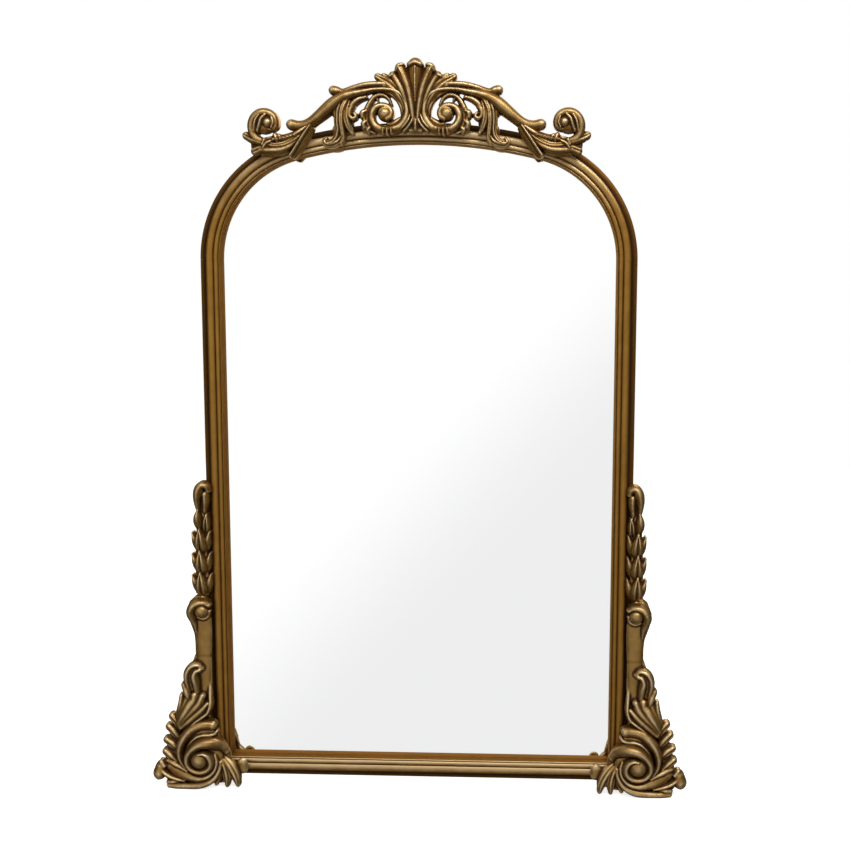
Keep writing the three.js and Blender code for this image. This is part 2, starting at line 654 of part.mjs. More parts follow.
function hangerGeometry() {
  const back = mouldingDepth + SEAT;
  const plate = solid(block(-hangerWidth / 2, hangerWidth / 2, back, back + hangerThickness, -hangerLength, 0));
  const across = (radius, length) => {
    const bar = new THREE.CylinderGeometry(radius, radius, length, 12);
    bar.rotateZ(Math.PI / 2);
    bar.translate(0, back + knuckleRadius, 0);
    return solid(bar);
  };
  const holes = hangerScrewPlaces.map((place) => screwBore(0, -place, back - 5, back + 9));
  return geometryOf(holes.reduce(
    (left, hole) => left.subtract(hole),
    plate.add(across(knuckleRadius, knuckleLength)).subtract(across(ringWire + ringPlay, hangerWidth * 2)),
  ));
}

// D-shaped ring round the origin's X axis, hanging down.
function ringGeometry() {
  const w = ringHalfWidth;
  const path = [
    [-w + 2, 0], [-w * 0.3, 0], [w * 0.3, 0], [w - 2, 0], [w, -1.5], [w + 0.5, -4],
    ...Array.from({ length: 7 }, (_, i) => {
      const angle = (i / 6) * Math.PI;
      return [(w + 0.5) * Math.cos(angle), -ringDrop + w - (w - 2) * Math.sin(angle)];
    }),
    [-w - 0.5, -4], [-w, -1.5],
  ];
  const rings = path.map(([x, z], i) => {
    const [ax, az] = path[(i + path.length - 1) % path.length];
    const [bx, bz] = path[(i + 1) % path.length];
    const along = new THREE.Vector2(bx - ax, bz - az).normalize();
    return Array.from({ length: 6 }, (_, k) => {
      const angle = (k / 6) * 2 * Math.PI;
      const out = ringWire * Math.cos(angle);
      return new THREE.Vector3(x + along.y * out, ringWire * Math.sin(angle), z - along.x * out);
    });
  });
  return loft(rings, true);
}

// ---------------------------------------------------------------- assembly
const part = new THREE.Group();
const mirror = new THREE.Group();
mirror.position.y = -depthCentre;
part.add(mirror);

function place(name, geometry, material, [x, y, z] = [0, 0, 0], parent = mirror) {
  const mesh = new THREE.Mesh(geometry, material);
  mesh.name = name;
  mesh.position.set(x, y, z);
  parent.add(mesh);
  return mesh;
}

// Both sides of a piece that is drawn for the right.
function pair(name, shape, material) {
  const geometry = geometryOf(shape);
  place(`${name}_right`, geometry, material);
  place(`${name}_left`, geometry, material).scale.x = -1;
}

// clips round the frame: place on the rebate's edge and the way out from the glass
const clipInset = mouldingWidth - rebateWidth;
const onStile = (side, z) => ({ x: side * (outerHalfWidth - clipInset), z, out: side * 90 });
const onCrown = (side) => {
  const angle = side * clipCrownShare * tangentAngle;
  return {
    x: (crownRadius - clipInset) * Math.sin(angle),
    z: crownCentre + (crownRadius - clipInset) * Math.cos(angle),
    out: THREE.MathUtils.radToDeg(angle),
  };
};
const onRail = (side) => ({
  x: side * clipRailShare * outerHalfWidth, z: sightHeight - rebateWidth, out: 180,
});
const clips = [
  ...clipShares.map((share) => share * springHeight).flatMap((z) => [onStile(-1, z), onStile(1, z)]),
  onCrown(-1), onCrown(1), onRail(-1), onRail(1),
];
const clipScrews = clips.map(({ x, z, out }) => {
  const angle = THREE.MathUtils.degToRad(out);
  const reach = clipFrameLeg - clipHoleInset;
  return [x + reach * Math.sin(angle), z + reach * Math.cos(angle)];
});
const hangerX = outerHalfWidth - clipInset / 2;
const hangerScrews = [-1, 1].flatMap((side) =>
  hangerScrewPlaces.map((drop) => [side * hangerX, hangerHeight - drop]));

// a frame member with the pilot holes of the screws that enter it
function bored(geometry) {
  return [...clipScrews, ...hangerScrews].reduce((shape, [x, z]) => shape.subtract(
    screwBore(x, z, mouldingDepth - screwReach - SEAT, mouldingDepth + 5),
  ), solid(geometry));
}

place('arch_head', geometryOf(bored(archHead())), FINISH.gilt);
const rightStile = bored(stile());
place('right_stile', geometryOf(rightStile), FINISH.gilt);
place('left_stile', geometryOf(rightStile), FINISH.gilt).scale.x = -1;
place('bottom_rail', geometryOf(bored(bottomRail())), FINISH.gilt);

const glassInset = mouldingWidth - rebateWidth + glassPlay;
const glassFront = rebateDrop + SEAT;
const boardFront = glassFront + glassThickness + SEAT;
place('mirror_glass', slab(archOutline(glassInset), glassFront, glassFront + glassThickness), FINISH.glass);
place('backing_board', slab(archOutline(glassInset), boardFront, boardFront + boardThickness), FINISH.board);

const clip = clipGeometry();
const screw = screwGeometry();
clips.forEach(({ x, z, out }, i) => {
  place(`clip_${i + 1}`, clip, FINISH.steel, [x, 0, z]).rotation.y = THREE.MathUtils.degToRad(out);
});
const seatScrew = (name, [x, z], under) =>
  place(name, screw, FINISH.steel, [x, under + SEAT, z]);
clipScrews.forEach((at, i) => seatScrew(`clip_screw_${i + 1}`, at, mouldingDepth + SEAT + clipThickness));

const shell = crestShell();
const scroll = mainBody(crestScroll().subtract(crestShell(SEAT)));
const branch = mainBody(crestBranch().subtract(crestScroll(SEAT)));
place('crest_shell', geometryOf(shell), FINISH.gilt);
pair('crest_scroll', scroll, FINISH.gilt);
pair('crest_branch', branch, FINISH.gilt);
pair('laurel_drop', laurelDrop(), FINISH.gilt);
pair('console', consoleBoard(), FINISH.gilt);
pair('foot', footCasting(), FINISH.gilt);

const hanger = hangerGeometry();
const ring = ringGeometry();
[['left', -1], ['right', 1]].forEach(([side, sign]) => {
  place(`hanger_plate_${side}`, hanger, FINISH.steel, [sign * hangerX, 0, hangerHeight]);
  place(`hanger_ring_${side}`, ring, FINISH.steel,
    [sign * hangerX, mouldingDepth + hangerStandOff, hangerHeight]);
  hangerScrewPlaces.forEach((drop, i) => seatScrew(
    `hanger_screw_${side}_${i + 1}`, [sign * hangerX, hangerHeight - drop],
    mouldingDepth + SEAT + hangerThickness,
  ));
  place(`bumper_${side}`, boreAlongY(bumperRadius, sign * hangerX, bumperAbove,
    mouldingDepth + SEAT, mouldingDepth + SEAT + bumperHeight, 16), FINISH.rubber);
});

export default part;
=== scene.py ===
"""Arched pier mirror in antique gold: reeded frame, pierced scroll-and-acanthus crest,
laurel drops, console boards and carved feet. Lengths are millimetres until a mesh is made."""
import math

import bpy
import numpy as np
from mathutils import Matrix, Vector

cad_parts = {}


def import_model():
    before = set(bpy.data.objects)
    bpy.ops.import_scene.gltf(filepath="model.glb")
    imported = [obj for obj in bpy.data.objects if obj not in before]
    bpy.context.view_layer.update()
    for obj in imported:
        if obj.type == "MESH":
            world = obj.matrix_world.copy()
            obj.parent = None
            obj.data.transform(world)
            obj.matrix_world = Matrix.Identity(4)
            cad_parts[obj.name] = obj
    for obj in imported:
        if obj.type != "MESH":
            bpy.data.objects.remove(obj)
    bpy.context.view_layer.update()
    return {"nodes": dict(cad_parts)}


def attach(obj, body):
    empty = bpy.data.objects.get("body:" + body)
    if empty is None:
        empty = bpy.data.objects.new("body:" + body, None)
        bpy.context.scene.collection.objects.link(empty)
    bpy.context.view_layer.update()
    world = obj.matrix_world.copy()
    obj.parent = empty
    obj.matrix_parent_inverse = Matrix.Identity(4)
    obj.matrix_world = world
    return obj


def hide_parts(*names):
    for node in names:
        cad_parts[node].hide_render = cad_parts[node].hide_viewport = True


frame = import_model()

MM = 0.001

# ------------------------------ sizes of the object
FRONT = 2.85            # the front of the moulding lies this far behind the origin
SEAT = 0.3              # what a piece keeps from the one that it lies on
OUTER_HALF_WIDTH = 444
SPRING_HEIGHT = 1111    # where the stiles end and the arch starts
ARCH_RISE = 273
SHOULDER_RADIUS = 0.912 * ARCH_RISE
CROWN_HEIGHT = SPRING_HEIGHT + ARCH_RISE
SIGHT_HEIGHT = 59       # the upper edge of the bottom rail
MOULDING_WIDTH = 41
MOULDING_DEPTH = 38
RIM_WIDTH = 12.4        # the rim rises from the outer edge to the outer reed
RIM_DROP = 13
RIM_RISE = 7.5
OUTER_REED = (20.8, 0, 7.4, 3.8)      # inset of its middle, drop, half width, height
INNER_REED = (33.3, 1.6, 4.8, 3.2)
LIP_WIDTH = 2.6
LIP_DROP = 5
REBATE_DROP = 25
REBATE_INSET = 31.5
FOOT_RELIEF = 52
FOOT_BODY_DEPTH = 34
SIDE = 450              # the side ornament's own datum
BESIDE = OUTER_HALF_WIDTH + SEAT
RAIL_UNDERSIDE = SIGHT_HEIGHT - MOULDING_WIDTH
CONSOLE_FOOT = 286      # the height at which the console stands on the foot

SHOULDER_CENTRE = OUTER_HALF_WIDTH - SHOULDER_RADIUS
CROWN_RADIUS = ((ARCH_RISE ** 2 + SHOULDER_CENTRE ** 2 - SHOULDER_RADIUS ** 2)
                / (2 * (ARCH_RISE - SHOULDER_RADIUS)))
CROWN_CENTRE = CROWN_HEIGHT - CROWN_RADIUS
TANGENT_ANGLE = math.atan2(SHOULDER_CENTRE, SPRING_HEIGHT - CROWN_CENTRE)


# ------------------------------ small helpers
def deselect():
    if bpy.context.object and bpy.context.object.mode != "OBJECT":
        leave_edit()
    bpy.ops.object.select_all(action="DESELECT")


def activate(obj):
    deselect()
    obj.select_set(True)
    bpy.context.view_layer.objects.active = obj


def edit(obj, kind="VERT", action="SELECT"):
    activate(obj)
    bpy.ops.object.mode_set(mode="EDIT")
    bpy.ops.mesh.select_mode(type=kind)
    bpy.ops.mesh.select_all(action=action)


def leave_edit():
    bpy.ops.object.mode_set(mode="OBJECT")


def face_outwards(obj):
    edit(obj)
    bpy.ops.mesh.normals_make_consistent(inside=False)
    leave_edit()


def extrude(obj, way):
    edit(obj)
    bpy.ops.mesh.extrude_region_move(TRANSFORM_OT_translate={"value": way})
    leave_edit()


def close_holes(obj):
    edit(obj, "EDGE", "DESELECT")
    bpy.ops.mesh.select_non_manifold(extend=False)
    bpy.ops.mesh.fill_holes(sides=0)
    face_outwards(obj)


def new_object(name, data):
    obj = bpy.data.objects.new(name, data)
    bpy.context.scene.collection.objects.link(obj)
    return obj


def copy_of(obj, name, matrix):
    """The same piece in another place, with its own mesh."""
    mesh = obj.data.copy()
    mesh.name = name
    mesh.transform(matrix)
    return new_object(name, mesh)


def remove(obj):
    mesh = obj.data
    bpy.data.objects.remove(obj)
    bpy.data.meshes.remove(mesh)


def apply_modifier(obj, kind, **settings):
    activate(obj)
    modifier = obj.modifiers.new(kind.title(), kind)
    for key, value in settings.items():
        setattr(modifier, key, value)
    bpy.ops.object.modifier_apply(modifier=modifier.name)


def smooth_shade(obj, degrees=None):
    activate(obj)
    if degrees is None:
        bpy.ops.object.shade_smooth()
    else:
        bpy.ops.object.shade_smooth_by_angle(angle=math.radians(degrees))


def coordinates(mesh):
    flat = np.empty(len(mesh.vertices) * 3)
    mesh.vertices.foreach_get("co", flat)
    return flat.reshape(-1, 3)


def point_attribute(mesh, name, values, kind="FLOAT"):
    layer = mesh.attributes.get(name) or mesh.attributes.new(name, kind, "POINT")
    field = "value" if kind == "FLOAT" else "vector"
    layer.data.foreach_set(field, np.ascontiguousarray(values).ravel())


def stored(mesh, name):
    values = np.empty(len(mesh.vertices))
    mesh.attributes[name].data.foreach_get("value", values)
    return values


def painted(mesh, material):
    mesh.materials.clear()
    mesh.materials.append(material)


def finished(obj, material, node, body="mirror"):
    """Gives a piece its material, body, slot and the node that it stands for."""
    painted(obj.data, material)
    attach(obj, body)
    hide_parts(node)


# ------------------------------ shader maths
class Socket:
    """A node socket on which + - * build Math nodes."""

    def __init__(self, tree, link):
        self.tree, self.link = tree, link

    def math(self, operation, *values):
        return self.tree.add("ShaderNodeMath", {"operation": operation}, dict(enumerate(values)))

    def __add__(self, other): return self.math("ADD", self, other)
    def __radd__(self, other): return self.math("ADD", other, self)
    def __sub__(self, other): return self.math("SUBTRACT", self, other)
    def __rsub__(self, other): return self.math("SUBTRACT", other, self)
    def __mul__(self, other): return self.math("MULTIPLY", self, other)

    def clamp(self):
        return self.tree.add("ShaderNodeClamp", {}, {"Value": self})

    def ramp(self, low, high, start=0.0, end=1.0):
        """A smooth step from `start` to `end` as the value goes from low to high."""
        return self.tree.add("ShaderNodeMapRange", {"interpolation_type": "SMOOTHSTEP"}, {
            "Value": self, "From Min": low, "From Max": high, "To Min": start, "To Max": end})


class Tree:
    """A node tree that is being built for a material or a world."""

    def __init__(self, owner, output):
        owner.use_nodes = True
        self.nodes, self.links = owner.node_tree.nodes, owner.node_tree.links
        self.nodes.clear()
        self.output = self.nodes.new(output)

    def add(self, kind, settings, values, output=0):
        node = self.nodes.new(kind)
        for key, value in settings.items():
            setattr(node, key, value)
        for key, value in values.items():
            self.feed(node.inputs[key], value)
        return Socket(self, node.outputs[output])

    def feed(self, socket, value):
        if isinstance(value, Socket):
            self.links.new(value.link, socket)
        elif isinstance(value, tuple) and len(value) == 3 and socket.type == "RGBA":
            socket.default_value = (*value, 1)
        else:
            socket.default_value = value

    def surface(self, shader):
        self.feed(self.output.inputs["Surface"], shader)

    def ray(self, kind):
        return self.add("ShaderNodeLightPath", {}, {}, f"Is {kind} Ray")

    def choice(self, amount, first, second):
        return self.add("ShaderNodeMixShader", {}, {0: amount, 1: first, 2: second})

    def light(self, kind, colour, strength):
        return self.add(kind, {}, {"Color": colour, "Strength": strength})

    def along(self, vector, way):
        """How far a vector goes along a direction."""
        return self.add("ShaderNodeVectorMath", {"operation": "DOT_PRODUCT"}, {0: vector, 1: way}, "Value")


class Finish(Tree):
    """A node material that is being built round its one Principled shader."""

    def __init__(self, name):
        self.material = bpy.data.materials.new(name)
        super().__init__(self.material, "ShaderNodeOutputMaterial")
        self.principled = self.nodes.new("ShaderNodeBsdfPrincipled")
        self.shader = Socket(self, self.principled.outputs[0])
        self.surface(self.shader)

    def set(self, **values):
        for key, value in values.items():
            self.feed(self.principled.inputs[key.replace("_", " ")], value)
        return self.material

    def place(self):
        return self.add("ShaderNodeTexCoord", {}, {}, "Object")

    def attribute(self, name, output="Fac"):
        return self.add("ShaderNodeAttribute", {"attribute_name": name}, {}, output)

    def stretch(self, vector, scale):
        return self.add("ShaderNodeMapping", {}, {"Vector": vector, "Scale": scale})

    def noise(self, vector, scale, detail=3.0, roughness=0.55):
        return self.add("ShaderNodeTexNoise", {}, {
            "Vector": vector, "Scale": scale, "Detail": detail, "Roughness": roughness})

    def mix(self, amount, first, second):
        return self.add("ShaderNodeMix", {"data_type": "RGBA"}, {0: amount, 6: first, 7: second}, 2)

    def bump(self, height, strength, distance):
        return self.add("ShaderNodeBump", {}, {"Height": height, "Strength": strength, "Distance": distance})


# ------------------------------ finishes
# DARK and UMBER colour the dark toning in hollows together with painted shade; the pale colour below colours
# rubbed leaf together with painted highlights
DARK = (0.021, 0.0082, 0.0024)
UMBER = (0.150, 0.058, 0.010)
GOLD = (0.29, 0.170, 0.042)
MOULDING_GOLD = (0.29, 0.152, 0.031)
PALE_RUB_AND_HIGHLIGHT = (0.73, 0.58, 0.34)
BACK_PAINT = (0.030, 0.020, 0.013)
BACK_PAINT_WORN = (0.062, 0.040, 0.024)
STREAKS = (4.0, 620.0, 1.0)     # brush marks: how much finer they are across than along


def antique_gold(name, along=None, gold=GOLD, gloss=0.0, lacquer=0.25):
    """Gold leaf over brown, pale on what stands out for rubbed wear together with painted highlight, and dark
    where it lies deep for dark toning together with painted shade.
    `along` names the attribute that runs with a moulding."""
    finish = Finish(name)
    place = finish.place()
    hollow = finish.attribute("hollow")
    proud = finish.attribute("proud")
    broad = finish.noise(place, 9.0, 4.0)
    cloud = finish.noise(place, 38.0, 5.0, 0.62)
    speck = finish.noise(place, 420.0, 3.0, 0.6)
    if along:
        brushed = finish.stretch(finish.attribute(along, "Vector"), STREAKS)
        cloud = cloud * 0.5 + finish.noise(brushed, 1.0, 4.0, 0.6) * 0.5
    wear = cloud * 0.7 + broad * 0.3
    # the stain and grime masks follow the hollows: dark toning there, together with painted shade
    stain_and_shade = (hollow * 1.35 + (wear - 0.5) * 0.9).ramp(0.05, 0.62)
    grime_and_shade = (hollow * 1.35 + (wear - 0.5) * 0.7).ramp(0.42, 1.0)
    # the pale rub is worn gilding on what stands out, together with painted highlight
    rub_and_highlight_mix = (proud * 1.1 + (wear - 0.5) * 0.8).ramp(0.30, 1.0)
    warm = finish.mix(wear.ramp(0.36, 0.64) * 0.5 + 0.5, UMBER, gold)
    leaf = finish.mix(rub_and_highlight_mix * 0.55, warm, PALE_RUB_AND_HIGHLIGHT)
    colour = finish.mix(grime_and_shade * 0.92, finish.mix(stain_and_shade * 0.75, leaf, UMBER), DARK)
    rear = finish.attribute("rear")
    return finish.set(
        Base_Color=finish.mix(rear, colour, finish.mix(cloud, BACK_PAINT, BACK_PAINT_WORN)),
        Metallic=(0.86 - grime_and_shade * 0.3) * (1 - rear),
        Specular_IOR_Level=0.25,
        Specular_Tint=(0.95, 0.62, 0.30),
        Coat_Weight=lacquer,
        Coat_Roughness=0.30,
        Roughness=(0.37 - gloss + rear * 0.3 + grime_and_shade * 0.32 + speck * 0.10 + (cloud - 0.5) * 0.16).clamp(),
        Normal=finish.bump(speck * 0.6 + cloud * 0.4, 0.25, 0.0006),
    )


def mirror_silver():
    finish = Finish("silvered_glass")
    haze = finish.noise(finish.place(), 2.0, 2.0)
    return finish.set(
        Base_Color=finish.mix(haze, (0.962, 0.968, 0.966), (0.972, 0.974, 0.972)),
        Metallic=1.0, Roughness=0.015 + haze * 0.004)


def hardboard():
    finish = Finish("brown_hardboard")
    place = finish.place()
    fibre = finish.noise(finish.stretch(place, (1.0, 1.0, 0.25)), 900.0, 3.0, 0.7)
    patch = finish.noise(place, 14.0, 4.0)
    return finish.set(
        Base_Color=finish.mix((fibre * 0.6 + patch * 0.4).ramp(0.3, 0.7),
                              (0.115, 0.068, 0.036), (0.215, 0.138, 0.078)),
        Roughness=0.78 + fibre * 0.14, Normal=finish.bump(fibre, 0.35, 0.0004))


def zinc():
    finish = Finish("zinc_plated_steel")
    place = finish.place()
    cloud = finish.noise(place, 160.0, 4.0, 0.6)
    brushed = finish.noise(finish.stretch(place, (1.0, 1.0, 0.08)), 2400.0, 2.0)
    return finish.set(
        Base_Color=finish.mix(cloud.ramp(0.3, 0.7), (0.50, 0.49, 0.46), (0.66, 0.655, 0.64)),
        Metallic=0.95, Roughness=0.30 + cloud * 0.16 + brushed * 0.06,
        Normal=finish.bump(brushed, 0.12, 0.0002))


def black_rubber():
    finish = Finish("black_rubber")
    grain = finish.noise(finish.place(), 900.0, 3.0)
    return finish.set(
        Base_Color=finish.mix(grain, (0.016, 0.016, 0.017), (0.034, 0.033, 0.033)),
        Roughness=0.72 + grain * 0.12, Normal=finish.bump(grain, 0.2, 0.0003))


GILT_MOULDING = antique_gold("antique_gold_moulding", "run", MOULDING_GOLD, -0.06, 0.0)
GILT_CARVING = antique_gold("antique_gold_carving")
ZINC = zinc()
RUBBER = black_rubber()


# ------------------------------ frame mouldings
REED_STEPS = 14
BEND_STEPS = 44
ARCH_TURN = 0.46        # metres that the gilder's strokes run per radian of the arch
MITRE = SEAT / math.sqrt(2)


def reed(centre, top, half, height):
    points = []
    for i in range(REED_STEPS + 1):
        angle = math.pi * (1 - i / REED_STEPS)
        rise = math.sin(angle)
        points.append((centre + half * math.cos(angle), top + height * (1 - rise), 0.42 * (1 - rise) ** 1.3))
    return points


def moulding_profile():
    """Points across the moulding: in from the outer edge, back from the front, and how dark each
    is painted, for dark toning in the grooves together with painted shade."""
    lip = MOULDING_WIDTH - LIP_WIDTH
    # painted shade on the outer side and rim, darkest next to the outer reed
    rim = [(0, MOULDING_DEPTH, 0.45), (0, 24, 0.4), (0, RIM_DROP + 0.8, 0.42), (0.5, RIM_DROP, 0.42)]
    for i in range(1, 8):
        t = i / 7
        rim.append((0.5 + (RIM_WIDTH - 0.5) * t, RIM_DROP - RIM_RISE * t ** 1.3, 0.42 + 0.4 * t ** 1.5))
    bead = [(lip + LIP_WIDTH * 0.5 * (1 - math.cos(a)), LIP_DROP + 0.9 - 1.5 * math.sin(a),
             0.35 * (1 - math.sin(a))) for a in (math.pi * i / 8 for i in range(9))]
    # a painted shade line just before the lip, and the rebate painted darkest
    return [
        *rim, *reed(*OUTER_REED), *reed(*INNER_REED), (lip - 0.1, LIP_DROP + 1.2, 0.85), *bead,
        (MOULDING_WIDTH, REBATE_DROP, 0.45), (REBATE_INSET, REBATE_DROP, 1),
        (REBATE_INSET, MOULDING_DEPTH, 0.7),
    ]


def profile_object(name, place):
    """The moulding's closed outline as edges, ready to be extruded or spun."""
    profile = moulding_profile()
    mesh = bpy.data.meshes.new(name)
    mesh.from_pydata([place(inset, depth) for inset, depth, _ in profile],
                     [(i, (i + 1) % len(profile)) for i in range(len(profile))], [])
    point_attribute(mesh, "hollow", [h for *_, h in profile])
    run = [0.0]
    for (a, b, _), (c, d, _) in zip(profile, profile[1:]):
        run.append(run[-1] + math.hypot(c - a, d - b) * MM)
    point_attribute(mesh, "across", run)
    return new_object(name, mesh)


def close_ends(obj, along, base_rub_and_highlight=0.22):
    """Fills both open ends and stores where each point lies and how pale it is painted: rubbed wear,
    with painted highlight added on what faces up and towards the crown. `along` gives the way along in metres."""
    close_holes(obj)
    mesh = obj.data
    at = coordinates(mesh)
    hollow, across = stored(mesh, "hollow"), stored(mesh, "across")
    point_attribute(mesh, "run", np.stack([along(at), across, np.zeros(len(at))], axis=1), "FLOAT_VECTOR")
    facing, sides = np.zeros(len(at)), np.full(len(at), 1e-6)
    for face in mesh.polygons:
        if len(face.vertices) == 4:     # not the ends
            facing[list(face.vertices)] += face.normal.z
            sides[list(face.vertices)] += 1
    # painted highlight: paler towards the crown and on what faces up
    headward_highlight = np.clip((at[:, 2] / MM - SPRING_HEIGHT - 40) / 220, 0, 1)
    upward_highlight = np.clip(1.5 * facing / sides, 0, 1)
    proud = base_rub_and_highlight + 0.5 * headward_highlight + 0.6 * upward_highlight - (1 + 1.8 * base_rub_and_highlight) * hollow
    point_attribute(mesh, "proud", np.clip(proud, 0, 1))
    point_attribute(mesh, "rear", at[:, 1] / MM > FRONT + MOULDING_DEPTH - 0.5)
    mesh.attributes.remove(mesh.attributes["across"])
    smooth_shade(obj, 40)
    return obj


def arch_head():
    def place(inset, depth):
        return Vector((OUTER_HALF_WIDTH - inset, FRONT + depth, SPRING_HEIGHT)) * MM

    def along(at):
        return np.arctan2(at[:, 0], at[:, 2] - 0.9) * ARCH_TURN

    obj = profile_object("arch_moulding", place)
    edit(obj)
    shoulder = math.pi / 2 - TANGENT_ANGLE
    for x, z, angle in ((SHOULDER_CENTRE, SPRING_HEIGHT, shoulder), (0, CROWN_CENTRE, 2 * TANGENT_ANGLE),
                        (-SHOULDER_CENTRE, SPRING_HEIGHT, shoulder)):
        bpy.ops.mesh.spin(steps=BEND_STEPS, angle=angle, center=(x * MM, 0, z * MM), axis=(0, 1, 0))
    leave_edit()
    return close_ends(obj, along)


def stile(side):
    def place(inset, depth):
        return Vector((side * (OUTER_HALF_WIDTH - inset), FRONT + depth, SPRING_HEIGHT - SEAT)) * MM

    obj = profile_object(f"{'right' if side > 0 else 'left'}_stile_moulding", place)
    extrude(obj, (0, 0, -1))
    for vertex in obj.data.vertices:
        if vertex.co.z < 0.5:
            inset = OUTER_HALF_WIDTH - abs(vertex.co.x) / MM
            vertex.co.z = (RAIL_UNDERSIDE + inset + MITRE) * MM
    return close_ends(obj, lambda at: at[:, 2] + side)


def bottom_rail():
    def place(inset, depth):
        return Vector((OUTER_HALF_WIDTH - inset - MITRE, FRONT + depth, RAIL_UNDERSIDE + inset)) * MM

    obj = profile_object("bottom_rail_moulding", place)
    extrude(obj, (-1, 0, 0))
    for vertex in obj.data.vertices:
        if vertex.co.x < 0:
            inset = vertex.co.z / MM - RAIL_UNDERSIDE
            vertex.co.x = -(OUTER_HALF_WIDTH - inset - MITRE) * MM
    # the rail is painted paler than the stiles: rubbed wear together with painted highlight from above
    return close_ends(obj, lambda at: at[:, 0] + 3, base_rub_and_highlight=0.55)


for piece, node in ((arch_head(), "arch_head"), (stile(1), "right_stile"), (stile(-1), "left_stile"),
                    (bottom_rail(), "bottom_rail")):
    finished(piece, GILT_MOULDING, node)


# ------------------------------ carving tools
def spline(path):
    """Evenly spaced points, and their directions, on a centripetal curve through `path`."""
    p = np.array(path, float)
    q = np.vstack([2 * p[0] - p[1], p, 2 * p[-1] - p[-2]])
    line = []
    for p0, p1, p2, p3 in zip(q, q[1:], q[2:], q[3:]):
        t0 = 0.0
        t1 = t0 + math.sqrt(np.linalg.norm(p1 - p0))
        t2 = t1 + math.sqrt(np.linalg.norm(p2 - p1))
        t3 = t2 + math.sqrt(np.linalg.norm(p3 - p2))
        t = np.linspace(t1, t2, 24, endpoint=False)[:, None]
        a = ((t1 - t) * p0 + (t - t0) * p1) / (t1 - t0)
        b = ((t2 - t) * p1 + (t - t1) * p2) / (t2 - t1)
        c = ((t3 - t) * p2 + (t - t2) * p3) / (t3 - t2)
        d = ((t2 - t) * a + (t - t0) * b) / (t2 - t0)
        e = ((t3 - t) * b + (t - t1) * c) / (t3 - t1)
        line.append(((t2 - t) * d + (t - t1) * e) / (t2 - t1))
    line = np.vstack([*line, p[-1:]])
    gone = np.concatenate([[0], np.cumsum(np.linalg.norm(np.diff(line, axis=0), axis=1))])
    at = np.linspace(0, gone[-1], max(8, round(gone[-1] / STATION_SPACING)) + 1)
    points = np.stack([np.interp(at, gone, line[:, k]) for k in (0, 1)], axis=1)
    tangents = np.gradient(points, axis=0)
    return points, tangents / np.linalg.norm(tangents, axis=1)[:, None]


def eased(values, t):
    """Values spread evenly over 0..1, read at t on a line that is rounded where it turns."""
    at = t * (len(values) - 1)
    places = np.arange(len(values))
    return sum(np.interp(at + turn, places, values) for turn in (-0.4, -0.2, 0, 0.2, 0.4)) / 5


# cuts along a ridge: place across it, width (both as shares of its half width), depth
VEIN = ((0.0, 0.17, 3.0),)
HUSK = ((0.0, 0.48, 5.0),)
POD = ((0.0, 0.26, 5.0),)
TWIN = ((-0.42, 0.15, 3.0), (0.42, 0.15, 3.0))
LEFT_RIM = ((-0.30, 0.30, 4.0),)
RIGHT_RIM = ((0.30, 0.30, 4.0),)

BOTH, FAR_END = (True, True), (False, True)             # which ends of a ridge are rounded
TIP_TURNS = [math.radians(d) for d in (20, 38, 54, 68, 80)]
ACROSS = np.sin(np.linspace(-math.pi / 2, math.pi / 2, 25))
STATION_SPACING = 1.8


